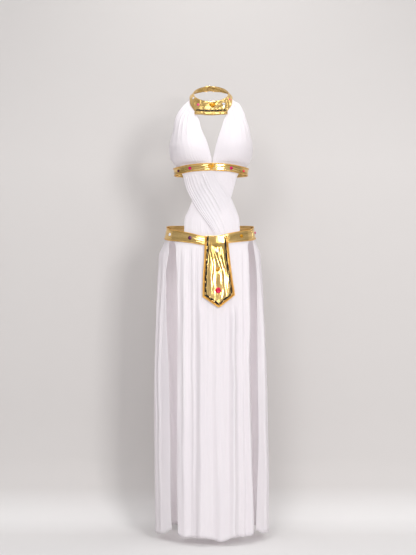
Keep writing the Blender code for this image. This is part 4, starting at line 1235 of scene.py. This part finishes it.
def flap_edge(inset, steps=60):
    """A path along the flap's left side, round its point and up its right side, as x and z."""
    tip_x, tip_z = FLAP_POINT
    left, right = (np.linspace(FLAP_TOP - 0.002, corner + 0.6 * inset, steps) for corner in FLAP_CORNERS)
    path = [(along(FLAP, "z", z, "left") + inset, z) for z in left]
    path.append((tip_x - 0.004, tip_z + 1.12 * inset + 0.002))
    path.append((tip_x, tip_z + 1.18 * inset))
    path.append((tip_x + 0.004, tip_z + 1.12 * inset + 0.002))
    path += [(along(FLAP, "z", z, "right") - inset, z) for z in right[::-1]]
    return np.array(path)


def evenly(path, pitch):
    """Points at even steps along a path."""
    length = np.concatenate([[0], np.cumsum(np.linalg.norm(np.diff(path, axis=0), axis=1))])
    at = np.arange(0, length[-1], pitch)
    return np.stack([np.interp(at, length, column) for column in path.T], -1)


def sequin_rows(name, places):
    """Overlapping cupped sequins: each place is a point, a normal, a way ahead, a size and a shade."""
    mesh = bmesh.new()
    for at, n, ahead, size, shade in places:
        side = np.cross(n, ahead)
        turn = Matrix((ahead, side, n)).transposed().to_4x4()
        made = bmesh.ops.create_cone(
            mesh, cap_ends=False, segments=9, radius1=size, radius2=size * 0.22, depth=size * 0.34
        )["verts"]
        bmesh.ops.contextual_create(mesh, geom=top_edges(made))
        bmesh.ops.transform(mesh, matrix=Matrix.Translation(Vector(at)) @ turn, verts=made)
        for vert in made:
            for face in vert.link_faces:
                face.material_index = shade
    bmesh.ops.recalc_face_normals(mesh, faces=mesh.faces[:])
    dark = shared(sequin_look, "dark_sequins", tuple(looks().dark), 0.36)
    bright = shared(sequin_look, "gold_sequins", tuple(looks().gold), 0.14)
    obj = new_piece(f"{name}_sequins", mesh, dark, bright)
    obj.data.shade_flat()
    return fitted(obj, [name])


def top_edges(verts):
    """The edges whose both ends are above the middle."""
    edges = {edge for vert in verts for edge in vert.link_edges}
    return [edge for edge in edges if all(vert.co.z > 0 for vert in edge.verts)]


def tilt(n, ahead, amount):
    """The normal and way ahead, tipped forward so that each sequin lies on the next."""
    cos, sin = math.cos(amount), math.sin(amount)
    return n * cos - ahead * sin, ahead * cos + n * sin


class FlapOperator(bpy.types.Operator):
    """Add the pointed gold flap with its binding and sequin braid"""

    bl_idname = "costume.flap"
    bl_label = "Pointed Flap"

    def execute(self, context):
        v = np.linspace(0, 1, 130)
        v[np.argmin(abs(v - FLAP_TIP))] = FLAP_TIP
        u = np.linspace(0, 1, 150)[:, None]
        z = FLAP_TOP + (flap_floor(v)[None] - FLAP_TOP) * u
        left, right = along(FLAP, "z", z, "left"), along(FLAP, "z", z, "right")
        x = left + (right - left) * v[None]
        gold = shared(gold_cloth, "gold_flap", (24.0, 9.0), 0.0026, 0.13)
        sheet_piece("flap", flap_point(x, z, FLAP_WALL), FLAP_WALL, gold)
        edge = evenly(flap_edge(-BINDING - GAP + 0.0006), 0.0022)
        path = flap_point(edge[:, 0], edge[:, 1], BINDING + 0.0003)
        mesh = tube_grid(path, BINDING * (1 + 0.06 * np.sin(np.arange(len(path)) * 1.7)), 10)
        binding = new_piece("flap_binding_cord", mesh, shared(edge_cloth))
        fitted(binding, ["flap_binding"])
        self.add_braid()
        self.add_beads()
        return {"FINISHED"}

    def add_braid(self):
        """Two rows of sequins inside the edge."""
        size = looks().sequin * 1.2
        places = []
        for row, inset in enumerate(BRAID_ROWS):
            at, n, ahead = flap_frame(evenly(flap_edge(inset), size * 1.12), FLAP_WALL + 0.0012)
            for i in range(len(at)):
                normal, way = tilt(n[i], ahead[i], 0.30 + 0.12 * math.sin(i * 5.1 + row))
                fleck = (i * 7 + 4 * row) % 15 < 2
                places.append((at[i], normal, way, size, 1 if fleck else 0))
        sequin_rows("flap_braid", places)

    def add_beads(self):
        """A row of rounded gold beads on the edge, half sizes along it, across it and off the cloth."""
        mesh = bmesh.new()
        for point, n, way in zip(*flap_frame(evenly(flap_edge(BEAD_ROW), BEAD_PITCH), FLAP_WALL + 0.0007)):
            half_sizes = (way * BEAD[0], np.cross(n, way) * BEAD[1], n * BEAD[2])
            turn = Matrix(half_sizes).transposed().to_4x4()
            made = bmesh.ops.create_uvsphere(mesh, u_segments=8, v_segments=5, radius=1.0)["verts"]
            bmesh.ops.transform(mesh, matrix=Matrix.Translation(Vector(point)) @ turn, verts=made)
        fitted(new_piece("flap_border_beads", mesh, shared(edge_cloth)))


def flap_frame(flat, lift):
    """Points on the flap, with the normal and the way ahead at each."""
    at = flap_point(flat[:, 0], flat[:, 1], lift)
    up = flap_point(flat[:, 0], flat[:, 1] + 0.002, lift) - at
    wide = flap_point(flat[:, 0] + 0.002, flat[:, 1], lift) - at
    n = np.cross(wide, up)
    n /= np.linalg.norm(n, axis=1, keepdims=True)
    ahead = np.gradient(at, axis=0)
    ahead -= n * np.sum(ahead * n, axis=1, keepdims=True)
    return at, n, ahead / np.linalg.norm(ahead, axis=1, keepdims=True)


class CollarBraidOperator(bpy.types.Operator):
    """Add the sequin braid along the collar's lower edge"""

    bl_idname = "costume.collar_braid"
    bl_label = "Collar Braid"

    def execute(self, context):
        size = looks().sequin
        places = []
        for row, raise_by in enumerate(COLLAR_BRAID_ROWS):
            count = int(COLLAR_BRAID_LENGTH / (size * 1.2))
            angle = np.radians(np.linspace(-COLLAR_BRAID_SPAN, COLLAR_BRAID_SPAN, count))
            down = collar_depth(angle) + raise_by
            lift = 0.0011 + collar_crumple(angle, down)
            at = collar_point(angle, down, lift)
            ahead = np.gradient(at, axis=0)
            up = collar_point(angle, down - 0.002, lift) - at
            for i in range(len(at)):
                n = np.cross(ahead[i], up[i])
                n /= np.linalg.norm(n)
                way = ahead[i] / np.linalg.norm(ahead[i])
                normal, way = tilt(n, way, 0.28 + 0.10 * math.sin(i * 4.3 + row))
                places.append((at[i], normal, way, size, 1 if (2 * i + 3 * row) % 9 == 0 else 0))
        sequin_rows("collar_braid", places)
        return {"FINISHED"}


# Stones


def outline(shape, a):
    """A stone's outline at an angle, with radius about 1."""
    if shape == "heart":
        s = math.sin(a)
        y = (13 * math.cos(a) - 5 * math.cos(2 * a) - 2 * math.cos(3 * a) - math.cos(4 * a)) / 16
        return s * s * s * 1.02, y + HEART_UP
    if shape == "oval":
        return 0.8 * math.cos(a), 1.15 * math.sin(a)
    return math.cos(a), math.sin(a)


def on_collar(x, z):
    """The angle and depth at which the collar is at x and z as seen from the front."""
    angle, down = np.arcsin(np.clip(x / COLLAR_FRONT, -0.98, 0.98)), 0.01
    for _ in range(40):
        point = collar_point(angle, down, 0.0)
        flare = np.radians(along(COLLAR, "angle", np.degrees(abs(angle)), "flare"))
        down += 0.6 * (point[2] - z) / np.cos(flare)
        angle += 0.6 * (x - point[0]) / (COLLAR_FRONT * max(np.cos(angle), 0.2))
        angle = np.clip(angle, -1.5, 1.5)
    return angle, down


def seat(item):
    """Where a stone's back rests: point, normal and up."""
    x, z = np.float64(item["x"]), np.float64(item["z"])
    lift, step, turn = GAP, 0.006, 0.05
    if item["on"] == "flap":
        base = [flap_point(x, z + up, FLAP_WALL, 0.0) for up in (0.0, step)]
        wide = flap_point(x + step, z, FLAP_WALL, 0.0)
        lift = GAP + 0.0008
    elif item["on"] == "collar":
        angle, down = on_collar(x, z)
        base = [collar_point(angle, down - up, 0.0) for up in (0.0, step)]
        wide = collar_point(angle + turn, down, 0.0)
    else:
        out = BAND + BAND_WALL
        angle = front_angle(FORM, x, z, out)
        base = [oval(FORM, angle, z + up, out) for up in (0.0, step)]
        wide = oval(FORM, angle + turn, z, out)
    up = base[1] - base[0]
    n = np.cross(wide - base[0], up)
    n /= np.linalg.norm(n)
    up = up - n * up.dot(n)
    up /= np.linalg.norm(up)
    return base[0] + n * lift, n, up


def cut_stone(item, facets):
    """A faceted stone: rings from its back over the girdle to the table, each turned half a facet."""
    centre, n, up = seat(item)
    side = np.cross(up, n)
    mesh = bmesh.new()
    made = bmesh.ops.create_circle(mesh, segments=facets, radius=1.0, cap_ends=True)["verts"]
    edges = mesh.edges[:]
    levels = [made]
    for _ in STONE_RINGS[1:]:
        more = bmesh.ops.extrude_edge_only(mesh, edges=edges)["geom"]
        edges = [g for g in more if isinstance(g, bmesh.types.BMEdge)]
        levels.append([g for g in more if isinstance(g, bmesh.types.BMVert)])
    for level, (scale, height, turn) in zip(levels, STONE_RINGS):
        shift = HEART_UP * (1 - scale) if item["shape"] == "heart" else 0
        for i, vert in enumerate(sorted(level, key=lambda w: math.atan2(w.co.y, w.co.x))):
            x, y = outline(item["shape"], 2 * math.pi * (i + turn) / facets)
            flat = side * x * scale + up * (y * scale + shift)
            vert.co = Vector(centre + flat * item["radius"] + n * height * item["rise"])
    bmesh.ops.contextual_create(mesh, geom=edges)
    bmesh.ops.triangulate(mesh, faces=[f for f in mesh.faces if len(f.verts) == 4])
    bmesh.ops.recalc_face_normals(mesh, faces=mesh.faces[:])
    look = shared(stone_look, f"{item['colour']}_stone", STONE_COLOURS[item["colour"]])
    obj = new_piece(f"{item['name']}_cut", mesh, look)
    obj.data.shade_flat()
    return fitted(obj, [item["name"]])


class StoneOperator(bpy.types.Operator):
    """Add the cut stones of the collar, band, belt and flap"""

    bl_idname = "costume.stones"
    bl_label = "Cut Stones"

    def execute(self, context):
        for item in rows(STONES):
            cut_stone(item, HEART_FACETS if item["shape"] == "heart" else ROUND_FACETS)
        return {"FINISHED"}


class CutOperator(bpy.types.Operator):
    bl_idname = "costume.cuts"
    bl_label = "Cloth Cuts"

    def execute(self, context):
        return {"FINISHED"}


# Stage


class StageOperator(bpy.types.Operator):
    """Add the paper sweep, the lights, the world and the camera"""

    bl_idname = "costume.stage"
    bl_label = "Stage"

    def execute(self, context):
        self.add_sweep()
        stage = context.scene.costume_stage
        for lamp in rows(LIGHTS):
            watts = lamp["power"] * (getattr(stage, lamp["group"]) if lamp["group"] else 1.0)
            self.add_light(context.scene, lamp, watts)
        context.scene.view_settings.view_transform = "Standard"
        self.add_world(context.scene)
        camera = bpy.data.objects.new("camera", bpy.data.cameras.new("camera"))
        camera.data.sensor_width = SENSOR
        camera.data.lens = SENSOR * FOCAL_PX / PHOTO_HEIGHT_PX
        camera.location = CAMERA_AT
        camera.rotation_euler = (math.radians(90), 0, 0)
        context.scene.collection.objects.link(camera)
        context.scene.camera = camera
        return {"FINISHED"}

    def add_sweep(self):
        """A sheet of paper that lies on the floor, bends, and rises behind the costume."""
        mesh = bmesh.new()
        bmesh.ops.create_grid(mesh, x_segments=2, y_segments=60, size=0.5)
        flat = SWEEP_NEAR + SWEEP_BACK - SWEEP_BEND
        quarter = SWEEP_BEND * math.pi / 2
        for vert in mesh.verts:
            t = (vert.co.y + 0.5) * SWEEP_SIZE
            a = min(max((t - flat) / SWEEP_BEND, 0.0), math.pi / 2)
            y = min(t, flat) - SWEEP_NEAR + SWEEP_BEND * math.sin(a)
            z = SWEEP_BEND * (1 - math.cos(a)) + max(t - flat - quarter, 0.0)
            vert.co = (vert.co.x * SWEEP_SIZE, y, FLOOR_Z + z)
        new_piece("sweep", mesh, shared(stage_look))

    def add_light(self, scene, lamp, watts):
        """A square lamp that looks at its aim."""
        light = bpy.data.lights.new(lamp["name"], "AREA")
        light.shape = "RECTANGLE"
        light.size, light.size_y = lamp["size"]
        light.energy = watts
        obj = bpy.data.objects.new(lamp["name"], light)
        obj.location = lamp["at"]
        aim = Vector(lamp["aim"]) - Vector(lamp["at"])
        obj.rotation_euler = aim.to_track_quat("-Z", "Y").to_euler()
        obj.visible_camera = False
        scene.collection.objects.link(obj)

    def add_world(self, scene):
        """A soft grey room, darker to the sides."""
        world = bpy.data.worlds.new("soft room")
        world.use_nodes = True
        room = Nodes(world.node_tree)
        parts = room.node("ShaderNodeSeparateXYZ", Vector=room.place("Generated"))
        side = room.maths("ABSOLUTE", Value(room, parts.outputs["X"]))
        shades = [(at, (grey, grey, grey * 1.03)) for at, grey in WORLD_SHADES]
        ground = room.tree.nodes["Background"].inputs
        room.feed(ground, "Color", room.ramp(side, shades))
        room.feed(ground, "Strength", WORLD_STRENGTH)
        scene.world = world


PIECES = (CollarOperator, CollarBraidOperator, HalterOperator, WrapOperator, BandOperator)
PIECES += (SkirtOperator, FlapOperator, StoneOperator, CutOperator, StageOperator)


class CostumePanel(bpy.types.Panel):
    """Sidebar panel with the pieces of the costume"""

    bl_idname = "VIEW3D_PT_costume"
    bl_label = "Egyptian Queen Costume"
    bl_space_type = "VIEW_3D"
    bl_region_type = "UI"
    bl_category = "Costume"

    def draw(self, context):
        for group in (context.scene.costume_looks, context.scene.costume_stage):
            for name in group.bl_rna.properties.keys():
                if name not in ("rna_type", "name"):
                    self.layout.prop(group, name)
        for piece in PIECES:
            self.layout.operator(piece.bl_idname)


CLASSES = (CostumeLooks, CostumeStage, *PIECES, CostumePanel)


def register():
    """Adds the classes and their settings to Blender."""
    for made in CLASSES:
        bpy.utils.register_class(made)
    bpy.types.Scene.costume_looks = PointerProperty(type=CostumeLooks)
    bpy.types.Scene.costume_stage = PointerProperty(type=CostumeStage)


def unregister():
    """Takes them out again."""
    del bpy.types.Scene.costume_stage
    del bpy.types.Scene.costume_looks
    for made in reversed(CLASSES):
        bpy.utils.unregister_class(made)


def main():
    """Builds each piece in turn."""
    register()
    for piece in PIECES:
        group, name = piece.bl_idname.split(".")
        if getattr(getattr(bpy.ops, group), name)() != {"FINISHED"}:
            raise RuntimeError(f"{piece.bl_label} was not built")


if __name__ == "__main__":
    main()
